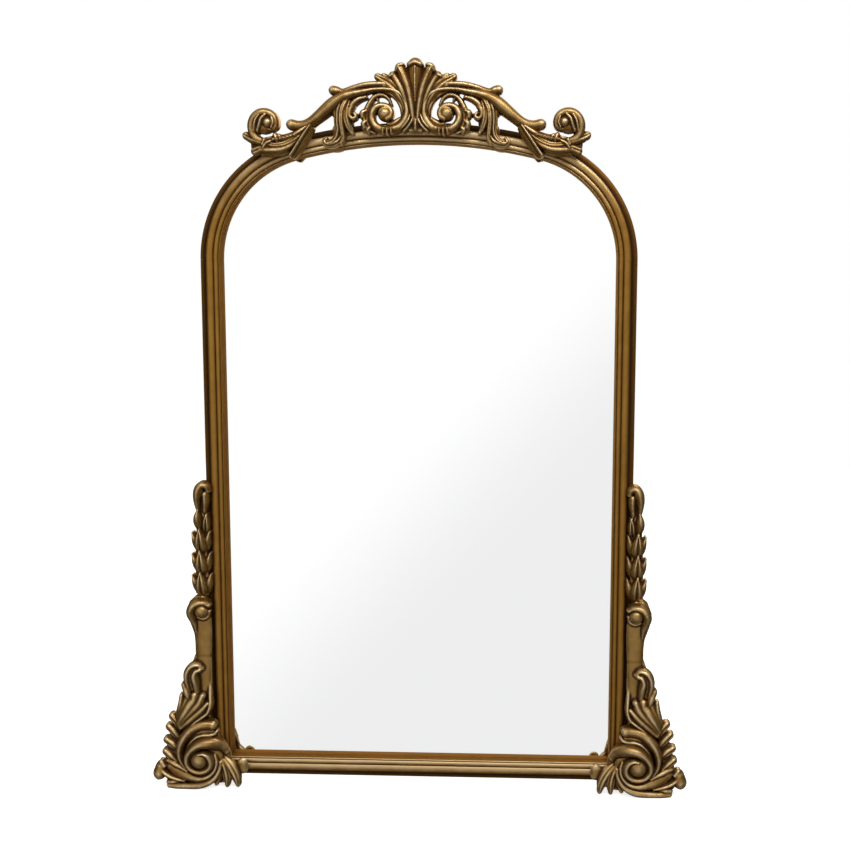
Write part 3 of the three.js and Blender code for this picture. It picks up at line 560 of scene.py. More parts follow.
class Carving:
    """Ridges, buttons and boards gathered as one set of closed skins."""

    def __init__(self):
        self.points, self.faces, self.count = [], [], 0

    def loft(self, rings):
        """A closed skin over rings with the same number of points, with flat ends."""
        rings = np.asarray(rings)
        n, m = rings.shape[:2]
        start = self.count
        self.points.append(rings.reshape(-1, 3))
        i = np.arange(m)
        j = (i + 1) % m
        for r in range(n - 1):
            a, b = start + r * m, start + (r + 1) * m
            self.faces.extend(np.stack([a + i, a + j, b + j, b + i], axis=1).tolist())
        self.faces.append(list(range(start + m - 1, start - 1, -1)))
        self.faces.append(list(range(start + (n - 1) * m, start + n * m)))
        self.count += n * m

    def stroke(self, path, half, rise, cut=(), back=-SEAT, tips=BOTH, wall=0.5, lean=0.0):
        """One carved ridge along a path on the front, `half` wide each way and `rise` high, with
        sides that stand straight up for a share `wall` of its height. `lean` makes it stand
        higher on its right-hand side."""
        at, tangent = spline(path)
        stations = [(*point, 1.0) for point in zip(at, tangent, np.linspace(0, 1, len(at)))]
        for end, sign in ((0, -1), (1, 1)):
            if not tips[end]:
                continue
            k = -end
            reach = eased(half, end)
            turned = [(at[k] + sign * reach * math.sin(a) * tangent[k], tangent[k], end, math.cos(a))
                      for a in TIP_TURNS]
            stations = stations + turned if end else turned[::-1] + stations
        rings = []
        for centre, along, s, scale in stations:
            w = eased(half, s) * scale
            h = eased(rise, s) * (0.45 + 0.55 * scale ** 0.7)
            front = h * (wall + (1 - wall) * np.sqrt(np.maximum(0, 1 - ACROSS ** 2)) + lean * ACROSS * 0.5)
            fade = min(1.0, scale * 1.2) * min(1.0, w / 5.5)
            for place, width, depth in cut:
                front = front - depth * fade * np.exp(-((ACROSS - place) / width) ** 2)
            x = centre[0] + along[1] * ACROSS * w
            z = centre[1] - along[0] * ACROSS * w
            skin = np.stack([x, back - front, z], axis=1)
            foot = np.stack([x[::-4], np.full(len(x[::-4]), float(back)), z[::-4]], axis=1)
            rings.append(np.vstack([skin, foot]))
        self.loft(rings)

    def button(self, centre, radius, rise, back=-SEAT, sides=40):
        """A round button with a domed front."""
        x, z = centre
        turn = np.linspace(0, 2 * math.pi, sides, endpoint=False)
        domed = [(math.cos(a), 0.62 + 0.38 * math.sin(a)) for a in np.linspace(0.12, 1.45, 9)]
        self.loft([np.stack([x + radius * scale * np.cos(turn), np.full(sides, back - rise * height),
                             z + radius * scale * np.sin(turn)], axis=1)
                   for scale, height in [(1, 0), (1, 0.62)] + domed])

    def board(self, outline, front, back, ease=1.5):
        """A flat board with its front edge eased."""
        at = np.array(outline, float)
        outward = at - at.mean(axis=0)
        inward = at - outward * ease / np.linalg.norm(outward, axis=1)[:, None]
        rings = [(at, back), (at, front + ease), (inward, front)]
        self.loft([np.stack([p[:, 0], np.full(len(p), float(y)), p[:, 1]], axis=1) for p, y in rings])

    def build(self, name):
        mesh = bpy.data.meshes.new(name)
        mesh.from_pydata(((np.vstack(self.points) + [0, FRONT, 0]) * MM).tolist(), [], self.faces)
        obj = new_object(name, mesh)
        face_outwards(obj)
        return obj


def clipped(outline, axis, limit, above=True):
    """The part of a flat outline above (or below) a limit along one axis."""
    sign = 1 if above else -1
    kept = []
    for a, b in zip(outline, outline[1:] + outline[:1]):
        inside_a, inside_b = sign * (a[axis] - limit) >= 0, sign * (b[axis] - limit) >= 0
        if inside_a:
            kept.append(a)
        if inside_a != inside_b:
            t = (limit - a[axis]) / (b[axis] - a[axis])
            kept.append((a[0] + t * (b[0] - a[0]), a[1] + t * (b[1] - a[1])))
    return kept


def trim(obj, low, high):
    """Cuts a piece level at its lowest and its highest height, where these are given."""
    edit(obj)
    for height, sign in ((low, 1), (high, -1)):
        if height is not None:
            bpy.ops.mesh.select_all(action="SELECT")
            bpy.ops.mesh.bisect(plane_co=(0, 0, height * MM), plane_no=(0, 0, sign), use_fill=True,
                                clear_inner=True)
    leave_edit()


def neighbours(mesh):
    edges = np.empty(len(mesh.edges) * 2, dtype=np.int64)
    mesh.edges.foreach_get("vertices", edges)
    a, b = edges.reshape(-1, 2).T
    count = np.bincount(a, minlength=len(mesh.vertices)) + np.bincount(b, minlength=len(mesh.vertices))
    return a, b, np.maximum(count, 1)


def averaged(values, links, rounds):
    """Each point's values, smoothed with those of its neighbours, as often as told."""
    a, b, count = links
    n = len(count)
    for _ in range(rounds):
        for k in range(values.shape[1]):
            v = values[:, k]
            total = np.bincount(a, v[b], n) + np.bincount(b, v[a], n)
            values[:, k] = 0.35 * v + 0.65 * total / count
    return values


def wear_and_light_marks(obj, deep, reach):
    """Stores how dark each point is painted, for dark toning in its hollows together with painted shade, and
    how pale, for rubbed wear on what stands proud together with painted highlight. What lies less than `deep`
    in front of the frame, or behind it, gets painted shade that is darkest over a depth of `reach`."""
    mesh = obj.data
    at = coordinates(mesh) / MM
    normals = np.empty(len(mesh.vertices) * 3)
    mesh.vertex_normals.foreach_get("vector", normals)
    normals = normals.reshape(-1, 3)
    links = neighbours(mesh)
    near = averaged(at.copy(), links, 7)
    far = averaged(near.copy(), links, 45)
    fine = ((near - at) * normals).sum(axis=1)
    coarse = ((far - at) * normals).sum(axis=1)
    # painted shade: the further back behind the front a point lies, the darker
    depth = np.clip((at[:, 1] - FRONT + deep) / reach, 0, 1)
    hollow = np.clip(fine / 0.55, -0.4, 0.75) + np.clip(coarse / 3.2, -0.5, 0.8) + 0.45 * depth
    proud = np.clip(-fine / 0.6, 0, 0.8) + np.clip(-coarse / 4.0, 0, 0.7) - 0.2 * depth
    both = averaged(np.stack([hollow, proud], axis=1), links, 1)
    rear = np.clip((normals[:, 1] - 0.5) * 4, 0, 1) * (at[:, 1] > FRONT - SEAT - 3)
    point_attribute(mesh, "rear", averaged(rear[:, None], links, 2)[:, 0])
    point_attribute(mesh, "hollow", np.clip(both[:, 0], 0, 1))
    point_attribute(mesh, "proud", np.clip(both[:, 1], 0, 1))


def carved(obj, grain=1.15, faces=95000, deep=0.0, reach=30.0, low=None, high=None, seam=None):
    """Joins the skins into one body, rounds the tool marks and thins it to `faces` triangles.
    A cut at a seam comes after the rounding and stays sharp, and its band gets a low, even share of dark toning
    and painted shade and of rubbed wear and painted highlight."""
    apply_modifier(obj, "REMESH", mode="VOXEL", voxel_size=grain * MM, use_smooth_shade=True)
    if not seam:
        trim(obj, low, high)
    apply_modifier(obj, "SMOOTH", factor=0.5, iterations=2)
    if seam:
        trim(obj, low, high)
    triangles = sum(len(p.vertices) - 2 for p in obj.data.polygons)
    if triangles > faces:
        apply_modifier(obj, "DECIMATE", ratio=faces / triangles)
    smooth_shade(obj, 65 if seam else None)
    wear_and_light_marks(obj, deep, reach)
    if seam:
        seam_band = np.abs(coordinates(obj.data)[:, 2] / MM - seam) < 3
        for name, value in (("proud", 0.1), ("hollow", 0.2)):
            point_attribute(obj.data, name, np.where(seam_band, value, stored(obj.data, name)))
    return obj


# ------------------------------ crest
def crest_shell():
    carving = Carving()
    ground = [(12, 1360), (20, 1376), (24, 1402), (32, 1426), (48, 1442), (66, 1458), (71, 1466), (57, 1467),
              (46, 1467), (39, 1482), (29, 1488), (18, 1484), (12, 1494)]
    carving.board(ground + [(-x, z) for x, z in reversed(ground)], -25, -SEAT, ease=2.5)
    flutes = [
        # the middle leaf, broad at its head, and its fold
        ([(0, 1404), (0, 1426), (0, 1450), (0, 1471), (0, 1488)], [2.5, 5.5, 9.5, 13.5, 16],
         [27, 31, 34, 36, 37]),
        ([(0, 1420), (0, 1442), (0, 1466), (0, 1484)], [2, 3.5, 5, 6], [30, 35, 38, 38.5]),
        # the leaf beside it, with its curled head
        ([(3, 1364), (5, 1392), (9, 1420), (15, 1446), (23, 1467), (28, 1480)], [3.5, 5.5, 7.5, 8.5, 9.5, 10],
         [25, 32, 36, 38, 39, 38]),
        ([(20, 1458), (26, 1472), (32, 1483)], [2.5, 4, 5], [37, 40, 39]),
        ([(14, 1390), (17, 1414), (25, 1437), (35, 1456), (44, 1469)], [4, 6, 8, 9, 9], [25, 30, 34, 35, 33]),
        ([(18, 1396), (24, 1420), (36, 1440), (52, 1455), (66, 1463), (75, 1468)],
         [5, 8.5, 12.5, 14.5, 12, 6.5], [22, 27, 31, 32, 30, 26], VEIN),
        ([(44, 1455), (54, 1464), (62, 1470)], [6, 7.5, 5], [28, 30, 26]),
        ([(54, 1447), (64, 1452), (71, 1457)], [5, 6.5, 4.5], [26, 29, 25]),
        # tongues that spread at the root
        ([(4, 1392), (8, 1380), (15, 1370), (23, 1363)], [2, 3.5, 4, 4], [29, 33, 32, 27]),
        ([(10, 1398), (13, 1386), (21, 1374), (32, 1365)], [2, 3.5, 4, 3.5], [28, 32, 32, 28]),
        ([(0, 1388), (0, 1376), (0, 1366)], [2.5, 4, 4.5], [29, 33, 30]),
    ]
    for path, half, rise, *cut in flutes:
        for side in (1, -1):
            if side < 0 and path[0][0] == path[-1][0] == 0:
                continue
            carving.stroke([(side * x, z) for x, z in path], half, rise, *cut)
    # heads of the leaves, curled forward
    carving.stroke([(-10, 1489), (0, 1492), (10, 1489)], [7, 8.5, 7], [40, 43, 40])
    for side in (1, -1):
        carving.stroke([(side * 25, 1488), (side * 32, 1486), (side * 36, 1479)], [5.5, 7, 5], [38, 40, 36])
        carving.stroke([(side * 45, 1469), (side * 50, 1467)], [5.5, 5], [36, 34])
    return carved(carving.build("crest_palmette"), faces=80000, deep=30, reach=30)


def crest_scroll():
    carving = Carving()
    # low ground that closes the back wherever the carving isn't pierced
    carving.stroke([(18, 1392), (23, 1424), (42, 1444), (78, 1449), (110, 1441), (142, 1429), (174, 1408),
                    (202, 1384)], [6, 8, 6, 6, 8, 10, 8, 7], [17] * 8, wall=0.9)
    carving.stroke([(132, 1424), (144, 1396), (145, 1368), (149, 1348), (162, 1340)], [10, 12, 10, 8, 6],
                   [17] * 5, wall=0.9)
    carving.stroke([(88, 1404), (96, 1384), (86, 1364)], [7, 9, 7], [17] * 3, wall=0.9)
    # the long S: under the volute, up beside the palmette and out over the arch
    carving.stroke([(62, 1366), (46, 1365), (32, 1371), (22, 1383), (17, 1398), (19, 1416), (27, 1431),
                    (42, 1440), (62, 1443), (84, 1442), (104, 1438), (124, 1434), (143, 1428), (160, 1418),
                    (176, 1405), (191, 1393), (205, 1383), (220, 1376), (234, 1374), (247, 1376)],
                   [8, 9, 9, 8, 7, 6.5, 6, 5, 4.5, 5, 7, 8.5, 10.5, 12.5, 13.5, 12.5, 11, 9.5, 9.5, 11],
                   [33, 33, 32, 31, 31, 31, 31, 31, 31, 32, 34, 35, 36, 37, 37, 35, 32, 29, 28, 30])
    carving.stroke([(98, 1428), (112, 1424), (124, 1415), (130, 1404)], [4, 6.5, 7, 5], [27, 30, 31, 28])
    carving.stroke([(128, 1430), (142, 1421), (156, 1411), (170, 1401), (184, 1390), (198, 1379), (206, 1372)],
                   [3, 5, 6, 6, 5.5, 4.5, 3.5], [27, 29, 30, 28, 25, 22, 18])
    # low inner wall of the S, and the web under the eye
    carving.stroke([(26, 1394), (28, 1409), (35, 1423), (47, 1433), (64, 1439), (82, 1440)],
                   [4, 5, 5, 4, 3.5, 3], [20, 22, 22, 22, 22, 22])
    carving.stroke([(31, 1387), (39, 1380), (48, 1376), (54, 1377)], [4.5, 7, 7, 5], [22, 25, 25, 22])
    # volute: a broad band that winds into its domed eye
    carving.stroke([(30, 1374), (42, 1367), (55, 1364.5), (68, 1366), (79, 1373), (85.5, 1385), (85, 1398),
                    (78, 1408), (66, 1411.5), (54, 1408), (48, 1399), (50, 1390), (57, 1386)],
                   [4, 7, 8.5, 8.5, 8, 7.5, 7.5, 7.5, 7, 7, 6.5, 6, 5],
                   [30, 34, 35, 35, 35, 34, 33, 32, 31, 31, 31, 32, 33], wall=0.62)
    carving.button((61, 1396), 13.5, 35)
    carving.button((61, 1397), 15, 20)
    carving.stroke([(52, 1404), (60, 1407), (69, 1403), (72, 1396)], [2.5, 3, 3, 2], [31, 33, 33, 30])
    strokes = [
        # upper leaf with its round tip
        ([(40, 1441), (58, 1452), (80, 1453), (102, 1451), (124, 1445), (144, 1438), (157, 1438)],
         [5, 6.5, 6.5, 6.5, 6.5, 7, 8.5], [24, 28, 31, 31, 29, 27, 27]),
        ([(146, 1439), (156, 1441), (163, 1442)], [6, 9, 9.5], [26, 29, 28]),
        # tendril and husk round the coil
        ([(48, 1414), (54, 1426), (65, 1433), (79, 1431), (89, 1421), (96, 1408)], [3.5, 4, 4.5, 5, 5.5, 6],
         [16, 20, 22, 22, 23, 24]),
        ([(82, 1432), (76, 1425), (73, 1417)], [5, 4, 1.5], [19, 18, 14]),
        ([(86, 1422), (94, 1411), (98, 1396), (98, 1380), (93, 1368), (82, 1361)], [5, 6.5, 7, 7, 6.5, 4.5],
         [22, 25, 27, 27, 26, 24], HUSK),
        ([(99, 1402), (105, 1398), (105, 1391)], [5.5, 7, 6], [24, 28, 25]),
        ([(98, 1382), (103, 1378), (102, 1371)], [5, 7, 6], [24, 27, 24]),
        ([(90, 1370), (95, 1365), (93, 1360)], [5, 6, 4.5], [23, 25, 21]),
        # claws under the coil
        ([(47.5, 1367), (47, 1359)], [3.6, 3.6], [40, 38]),
        ([(55, 1366), (55.5, 1357.5)], [3.8, 3.8], [41, 39]),
        ([(62.5, 1367), (64, 1359)], [3.6, 3.6], [40, 38]),
        # small curl hung from the band, and its link
        ([(124, 1412), (130, 1402), (130, 1392), (124, 1387), (118, 1391), (121, 1397)],
         [6, 6.5, 6, 5.5, 5, 4], [29, 30, 30, 29, 28, 27]),
        ([(108, 1396), (117, 1394)], [3, 3], [20, 20]),
        # hanging acanthus
        ([(132, 1420), (137, 1402), (137, 1384), (132, 1369), (126, 1359)], [5, 7, 8.5, 7.5, 4],
         [27, 32, 32, 29, 22], VEIN),
        ([(134, 1426), (144, 1406), (147, 1382), (145, 1362), (144, 1348), (149, 1339)],
         [5, 6.5, 6.5, 6, 5.5, 4], [31, 36, 36, 33, 29, 24], VEIN),
        ([(144, 1424), (154, 1404), (156, 1382), (155, 1364), (158, 1352), (166, 1343), (174, 1341)],
         [5, 7, 7, 6, 6, 6, 5], [30, 34, 33, 31, 31, 31, 28], LEFT_RIM),
        ([(147, 1353), (153, 1343), (165, 1337), (177, 1337), (182, 1343), (179, 1348)],
         [4, 6.5, 7, 6.5, 6, 5], [26, 28, 29, 28, 27, 25], RIGHT_RIM),
        ([(150, 1412), (160, 1402), (161, 1395)], [5, 6.5, 5], [28, 30, 26], VEIN),
        ([(153, 1392), (158, 1386), (158, 1380)], [4, 4.5, 3.5], [27, 27, 22]),
        ([(156, 1374), (161, 1367), (162, 1359)], [4, 5, 4], [26, 26, 22]),
        ([(133, 1394), (127, 1384), (126, 1376)], [4, 4, 2.5], [24, 22, 16]),
    ]
    for path, half, rise, *cut in strokes:
        carving.stroke(path, half, rise, *cut)
    return carved(carving.build("crest_scroll_carving_right"), faces=130000, deep=30, reach=30)


def crest_branch():
    carving = Carving()
    # strap that crosses the frame, tilted so that its far edge stands up
    carving.stroke([(206, 1368), (220, 1347), (234, 1327), (244, 1315)], [5, 6.8, 7, 5.5], [22, 24, 23, 20],
                   wall=0.7, lean=-0.35)
    carving.stroke([(209, 1373), (224, 1352), (239, 1330), (250, 1315)], [2.8, 3.6, 3.6, 3.8], [33, 35, 33, 30])
    carving.stroke([(212, 1374), (234, 1355), (260, 1342), (290, 1337), (318, 1336)], [6, 11, 16, 17, 11],
                   [20, 22, 23, 23, 20], wall=0.9)
    strokes = [
        # branch above and below
        ([(214, 1373), (230, 1362), (246, 1353), (262, 1348), (278, 1347)], [4.5, 6.5, 7, 7, 5],
         [27, 30, 31, 31, 28]),
        ([(222, 1362), (242, 1347), (262, 1338), (280, 1336), (296, 1339)], [4.5, 6.5, 7.5, 7.5, 6],
         [27, 30, 31, 31, 28], VEIN),
        ([(234, 1346), (252, 1333), (270, 1327), (290, 1326), (308, 1327)], [4.5, 6.5, 7.5, 8, 7],
         [26, 29, 30, 30, 27]),
        ([(254, 1325), (270, 1321), (288, 1319), (306, 1319)], [3.5, 5, 5.5, 4.5], [20, 23, 24, 20]),
        # outer leaves
        ([(298, 1340), (314, 1345), (328, 1350), (338, 1355)], [8, 10, 10, 8], [28, 31, 30, 24], VEIN),
        ([(294, 1330), (308, 1329), (320, 1325)], [8, 10, 9.5], [27, 29, 25], VEIN),
        ([(284, 1345), (296, 1339), (303, 1330)], [4, 5, 4], [30, 32, 30]),
        ([(300, 1346), (304, 1337)], [5, 4], [32, 31]),
        # knots between the volute and the branch
        ([(266, 1348), (271, 1354)], [5.5, 5], [31, 28]),
        ([(275, 1346), (279, 1355)], [6, 6], [32, 29]),
        # carved folds on the volute
        ([(296, 1394), (304, 1386), (308, 1375), (313, 1363)], [4, 5.5, 5, 4.5], [37, 39, 38, 33]),
        ([(309, 1393), (315, 1384), (318, 1374), (320, 1362)], [3, 4, 4.5, 4], [37, 38.5, 37, 32]),
        ([(284, 1389), (281, 1379), (285, 1369)], [3.5, 4, 3], [35, 36, 34]),
    ]
    for path, half, rise, *cut in strokes:
        carving.stroke(path, half, rise, *cut)
    carving.stroke([(303, 1343), (317, 1349), (324, 1361), (325, 1376), (319, 1389), (308, 1397), (294, 1398),
                    (282, 1392), (276.5, 1381), (278, 1371), (286, 1366), (294, 1367)],
                   [7, 9, 8.5, 8.5, 9, 9.5, 9.5, 9, 7.5, 6, 4.5, 4],
                   [28, 31, 32, 34, 35, 36, 36, 35, 34, 32, 30, 28], wall=0.6)
    carving.button((302, 1382), 24, 32.5)
    carving.button((292.5, 1379), 10.5, 39)
    for i in range(7):
        carving.button((240 + 7 * i, 1355 - 9 * math.sin(i * 0.22)), 3.8, 34, sides=16)
    return carved(carving.build("crest_branch_carving_right"), faces=90000, deep=30, reach=30)


# ------------------------------ side ornament
def laurel_drop():
    carving = Carving()
    back = 8

    def leaf(path, half, rise, cut=()):
        carving.stroke(path, half, rise, cut, back=back, tips=FAR_END, wall=0.55)

    carving.stroke([(453, 418), (453, 560), (451, 612), (449, 640)], [14, 13, 9, 6], [15, 15, 14, 14],
                   back=back, wall=0.8)
    spine = [(BESIDE, 415), (SIDE + 12, 415), (SIDE + 11, 560), (SIDE + 6, 650), (BESIDE, 650)]
    carving.board(spine, back - 3, RIM_DROP + 2)
    # hook at the head, with its bud
    carving.stroke([(455, 588), (457.5, 608), (457, 626), (453, 642), (446, 649), (438, 646), (435, 637)],
                   [4, 5.5, 7.5, 9.5, 10, 8, 5], [20, 25, 30, 33, 34, 30, 24], back=back)
    carving.stroke([(441, 630), (441, 614), (443, 594)], [7.5, 7, 4], [27, 26, 20], back=back)
    # pairs of leaves under a long middle leaf; each tip stands over the foot of the next
    for k in range(3):
        z = 419 + k * 45.5
        slim = 1 - 0.05 * k
        leaf([(455, z - 6), (461, z + 10), (466.5 - 0.5 * k, z + 25), (471.5 - k, z + 39)],
             [6, 9.5 * slim, 8 * slim, 1.8], [8, 20, 26, 23])
        leaf([(448, z - 6), (441, z + 10), (437 + 0.5 * k, z + 25), (433 + 0.5 * k, z + 40)],
             [6, 8.5 * slim, 7.5 * slim, 1.8], [8, 18, 24, 21])
    for k in range(3):
        z = 417 + k * 45.5
        leaf([(453, z - 8), (453, z + 8), (453, z + 24), (453.5, z + 38), (454, z + 48)],
             [6, 13, 13, 8.5, 1.8], [12, 27, 34, 34, 29], POD)
    leaf([(455, 552), (457.5, 568), (458, 583), (456, 598)], [5, 9.5, 8.5, 2], [14, 27, 31, 26])
    leaf([(444, 545), (441, 560), (440, 573), (439, 587)], [5, 8, 7, 2], [12, 24, 28, 24], POD)
    obj = carving.build("laurel_drop_carving_right")
    return carved(obj, grain=1.0, faces=70000, deep=10, reach=26, low=418.3)


def console_board():
    carving = Carving()
    inner, reach = -14, 20
    face = -9
    outline = [(inner, 270), (reach, 270), (reach, 312), (reach + 2, 332), (reach + 9, 352), (reach + 15, 370),
               (reach + 15.5, 388), (reach + 10, 402), (reach - 2, 412), (2, 415), (inner + 2, 403)]
    outline = [(SIDE + x, z) for x, z in outline]
    carving.board(outline, face, -SEAT, ease=2.5)
    carving.board(clipped(outline, 0, OUTER_HALF_WIDTH - 6.8), face + 2, 8)
    carving.board(clipped(outline, 0, BESIDE), face + 2, MOULDING_DEPTH - 4)
    carving.stroke([(452, 270), (452, 330), (455, 362)], [16, 17, 21], [7, 7, 7],
                   back=face + 3, tips=FAR_END, wall=0.2)
    # volute: the roll comes over the top and round under the domed eye
    coil = [(438, 396), (447, 401), (459, 401), (470, 394), (475.5, 381), (473, 367), (468, 352), (466, 336)]
    carving.stroke(coil, [5, 8, 9.5, 10, 9.5, 7.5, 4.5, 2], [18, 24, 27, 28, 25, 19, 13, 9],
                   back=face + 4, wall=0.35)
    carving.stroke([(437, 382), (441, 371), (451, 366), (462, 369)], [3, 4.5, 4.5, 3], [12, 13, 13, 11],
                   back=face + 4)
    carving.button((452.5, 383.5), 13.5, 27, back=face + 4)
    obj = carving.build("console_carving_right")
    return carved(obj, grain=1.1, faces=50000, deep=10, reach=34, low=CONSOLE_FOOT - 0.1, high=416,
                  seam=CONSOLE_FOOT)


# ------------------------------ feet
def foot():
    carving = Carving()
    face = -10
    lift = face + 3
    deep = FOOT_RELIEF - 10 + 3
    plate = [(-14, 300), (-14, 205), (-5, 172), (-10, 146), (-22, 122), (-34, 96), (-44, 70), (-50, 40),
             (-52, 16), (-40, 6), (-12, 3), (66, 2), (88, 10), (98, 22), (88, 50), (80, 92), (66, 138),
             (44, 180), (36, 232), (30, 262), (20, 290), (20, 300)]
    plate = [(SIDE + x, z) for x, z in plate]
    carving.board(plate, face, -SEAT)
    carving.board(clipped(plate, 0, OUTER_HALF_WIDTH - 6.8), face + 2, 8)
    carving.board(clipped(plate, 0, BESIDE), face + 2, FOOT_BODY_DEPTH)
    carving.board(clipped(plate, 1, RAIL_UNDERSIDE - SEAT, above=False), face + 2, FOOT_BODY_DEPTH)

    def ridge(path, half, rise, cut=(), tips=FAR_END, wall=0.5):
        """A ridge drawn on the plane 40 in front; every point is taken back to its own height."""
        drawn = []
        for k, (x, z) in enumerate(path):
            sunk = FRONT + lift + 40 - deep * float(eased(rise, k / (len(path) - 1)))
            drawn.append((x + 0.1 * sunk, z - 0.42 * sunk))
        carving.stroke(drawn, half, [r * deep for r in rise], cut, back=lift, tips=tips, wall=wall)

    # volute: the broad band rolls over, round and up into the domed eye
    ridge([(406, 88), (414, 95), (427, 99.5), (441, 100.5), (456, 98.5), (469, 92.5), (479.5, 83), (486, 71),
           (486.5, 58), (480, 46.5), (470, 40.5), (458, 39), (446.5, 42.5), (438, 51), (436, 62), (441, 73),
           (451, 79), (462, 78)], [7, 9.5, 12.5, 13, 12, 11, 9.5, 8.5, 7.5, 7, 7, 7, 7.5, 8, 8, 7, 5.5, 4],
          [0.3, 0.48, 0.72, 0.88, 0.94, 0.94, 0.93, 0.91, 0.88, 0.86, 0.84, 0.84, 0.84, 0.84, 0.86, 0.9, 0.94,
           0.94], tips=BOTH, wall=0.55)
    carving.button((460, 66.5), 18.5, deep, back=lift)
    carving.button((443, 66), 30, deep * 0.5, back=lift)
    # second band, opening into the broad leaf on the corner
    ridge([(428, 82), (424, 64), (427, 48), (436, 35), (449, 27), (464, 25), (480, 28), (497, 34), (512, 43),
           (522, 52)], [3, 4, 4.5, 5.5, 6.5, 8, 10, 12.5, 13, 10],
          [0.55, 0.66, 0.72, 0.76, 0.78, 0.77, 0.73, 0.68, 0.62, 0.5], wall=0.6)
    ridge([(486, 42), (500, 50), (514, 57), (528, 65)], [4, 6, 7.5, 6], [0.66, 0.66, 0.6, 0.48])
    # outer rim that sweeps under the volute
    ridge([(417, 66), (418, 50), (424, 35), (433, 23), (445, 15), (459, 10.5), (475, 9), (492, 8.5),
           (510, 8.5), (527, 10)], [4, 4.5, 5.5, 6.5, 7.5, 7.5, 7, 6.5, 6.5, 6],
          [0.5, 0.6, 0.68, 0.74, 0.76, 0.76, 0.72, 0.68, 0.64, 0.58], wall=0.75)
    ridge([(492, 21), (510, 24), (527, 30), (540, 39), (545, 49)], [3, 5, 5.5, 5.5, 5],
          [0.6, 0.64, 0.62, 0.58, 0.5])
    # corner lobes
    ridge([(546, 48), (549, 34)], [12.5, 15], [0.5, 0.6], tips=BOTH, wall=0.4)
    ridge([(536, 50), (544, 61)], [5.5, 6], [0.5, 0.46])
    ridge([(508, 20), (518, 18), (528, 17)], [5, 6.5, 6.5], [0.58, 0.64, 0.56], tips=BOTH)
    # band that rolls over the volute from its domed end
    ridge([(434, 142), (447, 142), (462, 139), (477, 130), (490, 116), (499, 100), (503, 84), (502, 69),
           (496, 56), (488, 47)], [10, 10.5, 10.5, 10.5, 10, 9, 7.5, 6, 4.5, 3],
          [0.58, 0.68, 0.74, 0.8, 0.83, 0.83, 0.8, 0.75, 0.68, 0.6], tips=BOTH, wall=0.55)
    ridge([(432, 132), (446, 131), (462, 128), (475, 120), (486, 108)], [4, 6, 6.5, 6, 4],
          [0.4, 0.52, 0.56, 0.56, 0.5], tips=BOTH)
    ridge([(424, 131), (429, 124), (439, 121), (452, 121), (465, 117), (476, 108), (484, 97), (489, 84),
           (490, 70)], [4, 5, 5, 5, 4.5, 4, 3.5, 3.5, 3],
          [0.4, 0.54, 0.62, 0.65, 0.67, 0.66, 0.63, 0.58, 0.52], tips=BOTH)
    # leaf over the corner of the frame, and its lobes under the rail
    ridge([(402, 76), (408, 90), (414, 104)], [8, 9, 6], [0.2, 0.3, 0.36], tips=BOTH, wall=0.2)
    ridge([(418, 84), (407, 67), (395, 48), (386, 30), (381, 13)], [3, 8.5, 12, 11.5, 4.5],
          [0.2, 0.42, 0.5, 0.52, 0.48], TWIN)
    ridge([(420, 82), (413, 64), (407, 46), (404, 29), (404, 12)], [3, 7, 10, 10.5, 4.5],
          [0.3, 0.5, 0.54, 0.54, 0.48], TWIN)
    ridge([(424, 72), (419, 53), (421, 36), (427, 15)], [3, 6, 9.5, 4.5], [0.4, 0.52, 0.56, 0.5], VEIN)
    ridge([(371, 50), (372, 62)], [11, 11], [0.2, 0.2], tips=BOTH, wall=0.2)
    # acanthus that fans up from the shoulder of the volute
    ridge([(500, 136), (486, 148), (470, 162), (454, 177), (443, 190)], [6, 8.5, 9.5, 8, 5],
          [0.6, 0.68, 0.68, 0.6, 0.44])
    ridge([(502, 140), (490, 156), (475, 172), (461, 188), (453, 206)], [5, 8.5, 10, 9.5, 6.5],
          [0.6, 0.72, 0.72, 0.66, 0.5])
    ridge([(504, 144), (492, 164), (480, 182), (471, 196), (469, 207)], [5, 9, 11.5, 11.5, 8],
          [0.6, 0.76, 0.78, 0.72, 0.56])
    ridge([(505, 146), (498, 168), (490, 186), (485, 201)], [5, 7.5, 9, 7], [0.55, 0.66, 0.64, 0.5])
    ridge([(507, 150), (503, 172), (499, 190), (497, 208)], [5, 6.5, 6.5, 5], [0.48, 0.58, 0.56, 0.44])
    ridge([(480, 196), (485, 214), (490, 230)], [5, 8, 8], [0.48, 0.6, 0.5])
    # curls at its head
    ridge([(464, 214), (466, 234), (469, 248), (465, 258), (457, 263)], [5, 6.5, 7, 6.5, 5.5],
          [0.45, 0.58, 0.66, 0.66, 0.54])
    ridge([(477, 218), (482, 240), (481, 256), (473, 267), (462, 271), (453, 267)], [7, 9, 10, 10, 8.5, 5],
          [0.46, 0.56, 0.64, 0.64, 0.58, 0.44], LEFT_RIM)
    # roll that comes down the board and turns into the fan
    ridge([(438, 240), (436, 210), (436, 188), (442, 171), (454, 160), (466, 151), (476, 143)],
          [4, 4.5, 5, 5, 5, 4.5, 3.5], [0.08, 0.22, 0.38, 0.52, 0.62, 0.66, 0.66], tips=BOTH, wall=0.3)
    carving.stroke([(452, 310), (452, 240), (452, 205)], [16, 16, 12], [7, 7, 6],
                   back=face + 3, tips=FAR_END, wall=0.2)
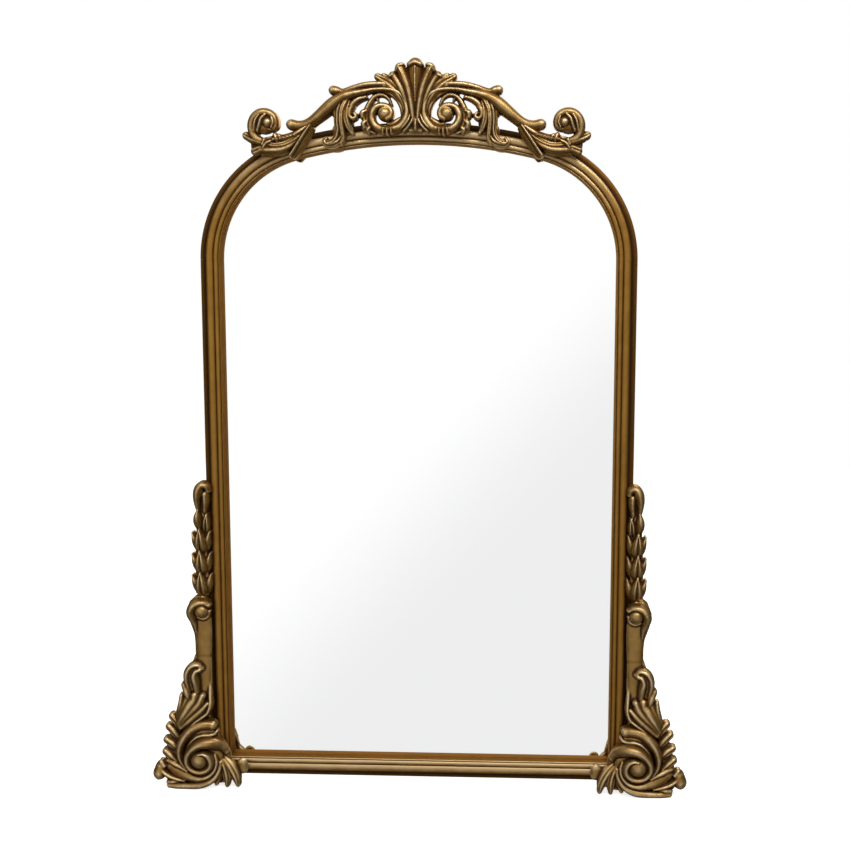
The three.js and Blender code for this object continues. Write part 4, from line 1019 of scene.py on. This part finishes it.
    # feather leaf on the outer side
    ridge([(505, 152), (513, 126), (520, 98), (524, 72), (525, 52)], [8, 11, 12, 12, 11],
          [0.3, 0.34, 0.36, 0.36, 0.34], wall=0.8)
    barbs = [((501, 138), (510, 152), (518, 161)), ((504, 114), (516, 128), (525.5, 138)),
             ((507, 89), (520, 101), (531, 109)), ((510, 63), (524, 74), (534, 83))]
    for base, middle, tip in barbs:
        ridge([base, middle, tip], [6, 9, 8.5], [0.46, 0.58, 0.5], RIGHT_RIM)
    obj = carving.build("foot_carving_right")
    return carved(obj, grain=1.3, faces=150000, deep=12, reach=46, low=0, high=CONSOLE_FOOT, seam=CONSOLE_FOOT)


def both_sides(build, node):
    """The right-hand piece and its mirrored twin."""
    right = build()
    left = copy_of(right, right.name.replace("right", "left"), Matrix.Scale(-1, 4, (1, 0, 0)))
    left.data.flip_normals()
    finished(right, GILT_CARVING, f"{node}_right")
    finished(left, GILT_CARVING, f"{node}_left")


finished(crest_shell(), GILT_CARVING, "crest_shell")
for build, node in (
        (crest_scroll, "crest_scroll"), (crest_branch, "crest_branch"), (laurel_drop, "laurel_drop"),
        (console_board, "console"), (foot, "foot")):
    both_sides(build, node)


# ------------------------------ glass, back and hardware
BACK = FRONT + MOULDING_DEPTH + SEAT       # what is screwed to the back of the frame starts here
HARDWARE_X = OUTER_HALF_WIDTH - REBATE_INSET / 2
RING_AXIS = (45.15, 1010)                  # back from the front, and height
RING_WIRE = 1.73                           # the wire's radius, with its plating
STRAP_LENGTH, STRAP_WIDTH = 56, 18
STRAP_HOLES = (28, 46)                     # below the ring's axis
PLATE, CLIP = 1.6, 1.5                     # thicknesses of the steel
CLIP_WIDTH, CLIP_REACH, CLIP_TAIL = 16, 18, 13
CLIP_SCREW = 6                             # out from the rebate's edge
CLIP_HEIGHTS = (0.207, 0.684)              # on the stiles, as shares of their height
CLIP_TURN = 0.75                           # on the arch, as a share of its crown's half angle
RAIL_CLIPS = 0.473                         # on the rail, as a share of the half width
BUMPER_HEIGHT = 90
HEAD_RISE = 2.5                            # a screw's head

painted(frame["nodes"]["mirror_glass"].data, mirror_silver())
painted(frame["nodes"]["backing_board"].data, hardboard())


def turned(name, profile):
    """A round piece on the y axis, spun from its half section (radius, y) in millimetres."""
    mesh = bpy.data.meshes.new(name)
    mesh.from_pydata([(r * MM, y * MM, 0) for r, y in profile],
                     [(i, i + 1) for i in range(len(profile) - 1)], [])
    obj = new_object(name, mesh)
    edit(obj)
    bpy.ops.mesh.spin(steps=32, angle=2 * math.pi, center=(0, 0, 0), axis=(0, 1, 0))
    bpy.ops.mesh.select_all(action="SELECT")
    bpy.ops.mesh.remove_doubles(threshold=0.00001)
    face_outwards(obj)
    return obj


def bent_strip(name, section, width, round_ends):
    """A strip of steel, extruded across from its closed side section (out, y), with rounded
    corners."""
    mesh = bpy.data.meshes.new(name)
    mesh.from_pydata([(-width / 2 * MM, y * MM, out * MM) for out, y in section],
                     [(i, (i + 1) % len(section)) for i in range(len(section))], [])
    obj = new_object(name, mesh)
    extrude(obj, (width * MM, 0, 0))
    close_holes(obj)
    for end in round_ends:
        edit(obj, "EDGE", "DESELECT")
        leave_edit()
        for edge in mesh.edges:
            a, b = (mesh.vertices[v].co for v in edge.vertices)
            edge.select = (abs(a.x - b.x) < 1e-6 and abs(a.z - b.z) < 1e-6
                           and abs(a.z / MM - end) < 0.01)
        bpy.ops.object.mode_set(mode="EDIT")
        bpy.ops.mesh.bevel(offset=width * 0.36 * MM, segments=6)
    face_outwards(obj)
    apply_modifier(obj, "BEVEL", width=0.3 * MM, segments=2, limit_method="ANGLE",
                   angle_limit=math.radians(40))
    smooth_shade(obj, 35)
    return obj


def wood_screw():
    """A pan head with a cross recess on a tapered, threaded shank; its seat is at y = 0."""
    thread = [(0, -13.6), (0.5, -12.9)]
    for i in range(9):
        y = -12.4 + i * 1.25
        core = 1.0 + 0.07 * i
        thread += [(core, y), (core + 0.55, y + 0.45), (core, y + 0.75)]
    head = [(3.45, 0.0), (3.58, 0.35), (3.5, 1.0), (3.1, 1.75), (2.3, 2.25), (1.2, 2.46), (0, HEAD_RISE)]
    screw = turned("screw_pattern", thread + [(1.75, -0.6), (1.75, 0)] + head)
    for angle in (35, 125):
        bpy.ops.mesh.primitive_cube_add(size=1)
        blade = bpy.context.object
        blade.data.transform(
            Matrix.Rotation(math.radians(angle), 4, "Y") @ Matrix.Translation((0, 2.3 * MM, 0))
            @ Matrix.Diagonal((3.9 * MM, 2.2 * MM, 0.75 * MM, 1)))
        apply_modifier(screw, "BOOLEAN", operation="DIFFERENCE", object=blade, solver="EXACT")
        remove(blade)
    smooth_shade(screw, 35)
    return screw


def offset_clip():
    """The stepped clip that holds the board: `out` runs from the board over the frame."""
    board = FRONT + 35.6 + SEAT
    section = [(CLIP_TAIL, BACK), (0, BACK), (-3, board), (-CLIP_REACH, board), (-CLIP_REACH, board + CLIP),
               (-3.5, board + CLIP), (-0.5, BACK + CLIP), (CLIP_TAIL, BACK + CLIP)]
    return bent_strip("clip_pattern", section, CLIP_WIDTH, (CLIP_TAIL, -CLIP_REACH))


def strap_hanger():
    """The plate, bent round at its head into the knuckle that holds the ring."""
    y = RING_AXIS[0]

    def bend(radius):
        return [(math.cos(a) * radius, y + math.sin(a) * radius)
                for a in (math.radians(-90 + 290 * i / 16) for i in range(17))]

    section = [(-STRAP_LENGTH, BACK), *bend(y - BACK), *bend(y - BACK - PLATE)[::-1],
               (-STRAP_LENGTH, BACK + PLATE)]
    return bent_strip("hanger_pattern", section, STRAP_WIDTH, (-STRAP_LENGTH,))


def ring_wire(side):
    """The D ring: a straight bar through the knuckle and a rounded bow below."""
    curve = bpy.data.curves.new("ring", "CURVE")
    curve.dimensions = "3D"
    curve.bevel_depth, curve.bevel_resolution = RING_WIRE * MM, 5
    half = [(0, 1010.27), (9.6, 1010.27), (11.6, 1009.7), (12.6, 1008.2), (12.75, 1005.6), (12.4, 1001.5),
            (11.0, 997.2), (8.2, 993.6), (4.4, 991.4), (0, 990.73)]
    line = half + [(-x, z) for x, z in half[-2:0:-1]]
    bow = curve.splines.new("NURBS")
    bow.points.add(len(line) - 1)
    for point, (x, z) in zip(bow.points, line):
        point.co = ((side * HARDWARE_X + x) * MM, RING_AXIS[0] * MM, z * MM, 1)
    bow.use_cyclic_u = True
    bow.order_u = 3
    bow.resolution_u = 5
    activate(new_object(f"d_ring_{'right' if side > 0 else 'left'}", curve))
    bpy.ops.object.convert(target="MESH")
    wire = bpy.context.object
    smooth_shade(wire)
    return wire


def hardware():
    screw, clip, hanger = wood_screw(), offset_clip(), strap_hanger()
    bumper = turned("bumper_pattern", [
        (0, 0), (8.6, 0), (9, 0.5), (9, 3.2), (8.5, 4.6), (7.2, 5.5), (4.5, 5.9), (0, 6)])
    smooth_shade(bumper, 35)

    def fit(pattern, name, node, x, y, z, turn=0.0, material=ZINC):
        matrix = Matrix.Translation((x * MM, y * MM, z * MM)) @ Matrix.Rotation(turn, 4, "Y")
        finished(copy_of(pattern, name, matrix), material, node)

    def fit_screw(node, x, y, z, turn):
        fit(screw, node + "_cross_head", node, x, y, z, turn)

    # each clip's place on the rebate's edge, and the way from the board out over the frame
    edge = OUTER_HALF_WIDTH - REBATE_INSET
    crown = CROWN_RADIUS - REBATE_INSET
    places = [(side * edge, share * SPRING_HEIGHT, side * math.pi / 2)
              for share in CLIP_HEIGHTS for side in (-1, 1)]
    places += [(crown * math.sin(a), CROWN_CENTRE + crown * math.cos(a), a)
               for a in (-CLIP_TURN * TANGENT_ANGLE, CLIP_TURN * TANGENT_ANGLE)]
    places += [(side * RAIL_CLIPS * OUTER_HALF_WIDTH, SIGHT_HEIGHT - 7.5, math.pi) for side in (-1, 1)]
    for i, (x, z, out) in enumerate(places):
        fit(clip, f"offset_clip_{i + 1}", f"clip_{i + 1}", x, 0, z, out)
        fit_screw(f"clip_screw_{i + 1}", x + CLIP_SCREW * math.sin(out), BACK + CLIP,
                  z + CLIP_SCREW * math.cos(out), 0.7 * i)
    for side, hand in ((-1, "left"), (1, "right")):
        x = side * HARDWARE_X
        fit(hanger, f"strap_hanger_{hand}", f"hanger_plate_{hand}", x, 0, RING_AXIS[1])
        for i, drop in enumerate(STRAP_HOLES):
            fit_screw(f"hanger_screw_{hand}_{i + 1}", x, BACK + PLATE, RING_AXIS[1] - drop, 0.9 * i + side)
        fit(bumper, f"rubber_bumper_{hand}", f"bumper_{hand}", x, BACK, BUMPER_HEIGHT, 0.0, RUBBER)
        finished(ring_wire(side), ZINC, f"hanger_ring_{hand}", f"ring_{hand}")
    for pattern in (screw, clip, hanger, bumper):
        remove(pattern)


hardware()


# ------------------------------ camera
CAMERA = (220.6, -2432.35, 1069.4)
YAW, PITCH, ROLL = (math.radians(a) for a in (2.198, -7.155, -0.185))
PICTURE = 850                   # pixels each way
FOCAL_PIXELS = 1200
SHIFT = (-54.47, 6.90)          # of the picture's middle, in pixels
SENSOR = 36

lens = bpy.data.cameras.new("camera")
lens.sensor_width = SENSOR
lens.lens = FOCAL_PIXELS / PICTURE * SENSOR
lens.shift_x, lens.shift_y = (shift / PICTURE for shift in SHIFT)
lens.clip_end = 50
camera = new_object("camera", lens)
turn = Matrix.Rotation(YAW, 3, "Z") @ Matrix.Rotation(PITCH, 3, "X") @ Matrix.Rotation(ROLL, 3, "Y")
right, forward, up = turn.col
camera.matrix_world = Matrix(
    [(right[k], up[k], -forward[k], CAMERA[k] * MM) for k in range(3)] + [(0, 0, 0, 1)])
bpy.context.scene.camera = camera

# ------------------------------ stage and light
bpy.context.scene.view_settings.view_transform = "Standard"
WHITE, PALE_GREY, COOL = (1, 1, 1), (0.8, 0.8, 0.8), (0.95, 0.97, 1.0)


def floor():
    """Pale, with the object's soft shadow on it, and not seen in the glass."""
    deselect()
    bpy.ops.mesh.primitive_plane_add(size=9, location=(0, 0, 0))
    obj = bpy.context.object
    obj.name = "floor"
    finish = Finish("pale_floor")
    finish.set(Base_Color=PALE_GREY, Roughness=0.9)
    glow = finish.light("ShaderNodeEmission", WHITE, 0.80)
    lit = finish.add("ShaderNodeAddShader", {}, {0: finish.shader, 1: glow})
    seen = finish.choice(finish.ray("Camera"), finish.shader, lit)
    through = finish.add("ShaderNodeBsdfTransparent", {}, {})
    finish.surface(finish.choice(finish.ray("Glossy"), seen, through))
    obj.data.materials.append(finish.material)


def world():
    """White to the camera; what metal and glass see fades softly down to a pale grey."""
    studio = bpy.data.worlds.new("studio")
    bpy.context.scene.world = studio
    tree = Tree(studio, "ShaderNodeOutputWorld")
    way = tree.add("ShaderNodeTexCoord", {}, {}, "Generated")
    slant = tree.along(way, (-1.0, 0, 1.0)).ramp(-0.21, 0.0, 1.10, 1.32)
    wall = tree.along(way, (0, -1, 0)).ramp(0.66, 0.90)
    ceiling = tree.along(way, (0, 0, 1)).ramp(0.30, 0.85, 0.15, 0.75)
    glossy = tree.light("ShaderNodeBackground", PALE_GREY, slant * ceiling.math("MAXIMUM", ceiling, wall))
    room = tree.light("ShaderNodeBackground", COOL, 0.35)
    white = tree.light("ShaderNodeBackground", WHITE, 1.0)
    tree.surface(tree.choice(tree.ray("Camera"), tree.choice(tree.ray("Glossy"), room, glossy), white))


def lamp(name, at, aim, size, power):
    data = bpy.data.lights.new(name, "AREA")
    data.shape = "RECTANGLE"
    data.size, data.size_y = size
    data.energy = power
    obj = new_object(name, data)
    obj.location = at
    obj.rotation_euler = (Vector(aim) - Vector(at)).to_track_quat("-Z", "Y").to_euler()


floor()
world()
lamp("key_softbox", (1.7, -1.5, 2.9), (0, 0, 0.8), (1.0, 1.4), 29)
lamp("top_softbox", (0.2, -1.7, 3.1), (0, 0, 0.8), (2.2, 0.8), 48)
lamp("fill_softbox", (-2.2, -2.4, 1.3), (0, 0, 0.7), (1.2, 1.8), 11)
lamp("back_softbox", (0.4, 2.6, 2.0), (0, 0, 0.8), (2.0, 1.6), 30)
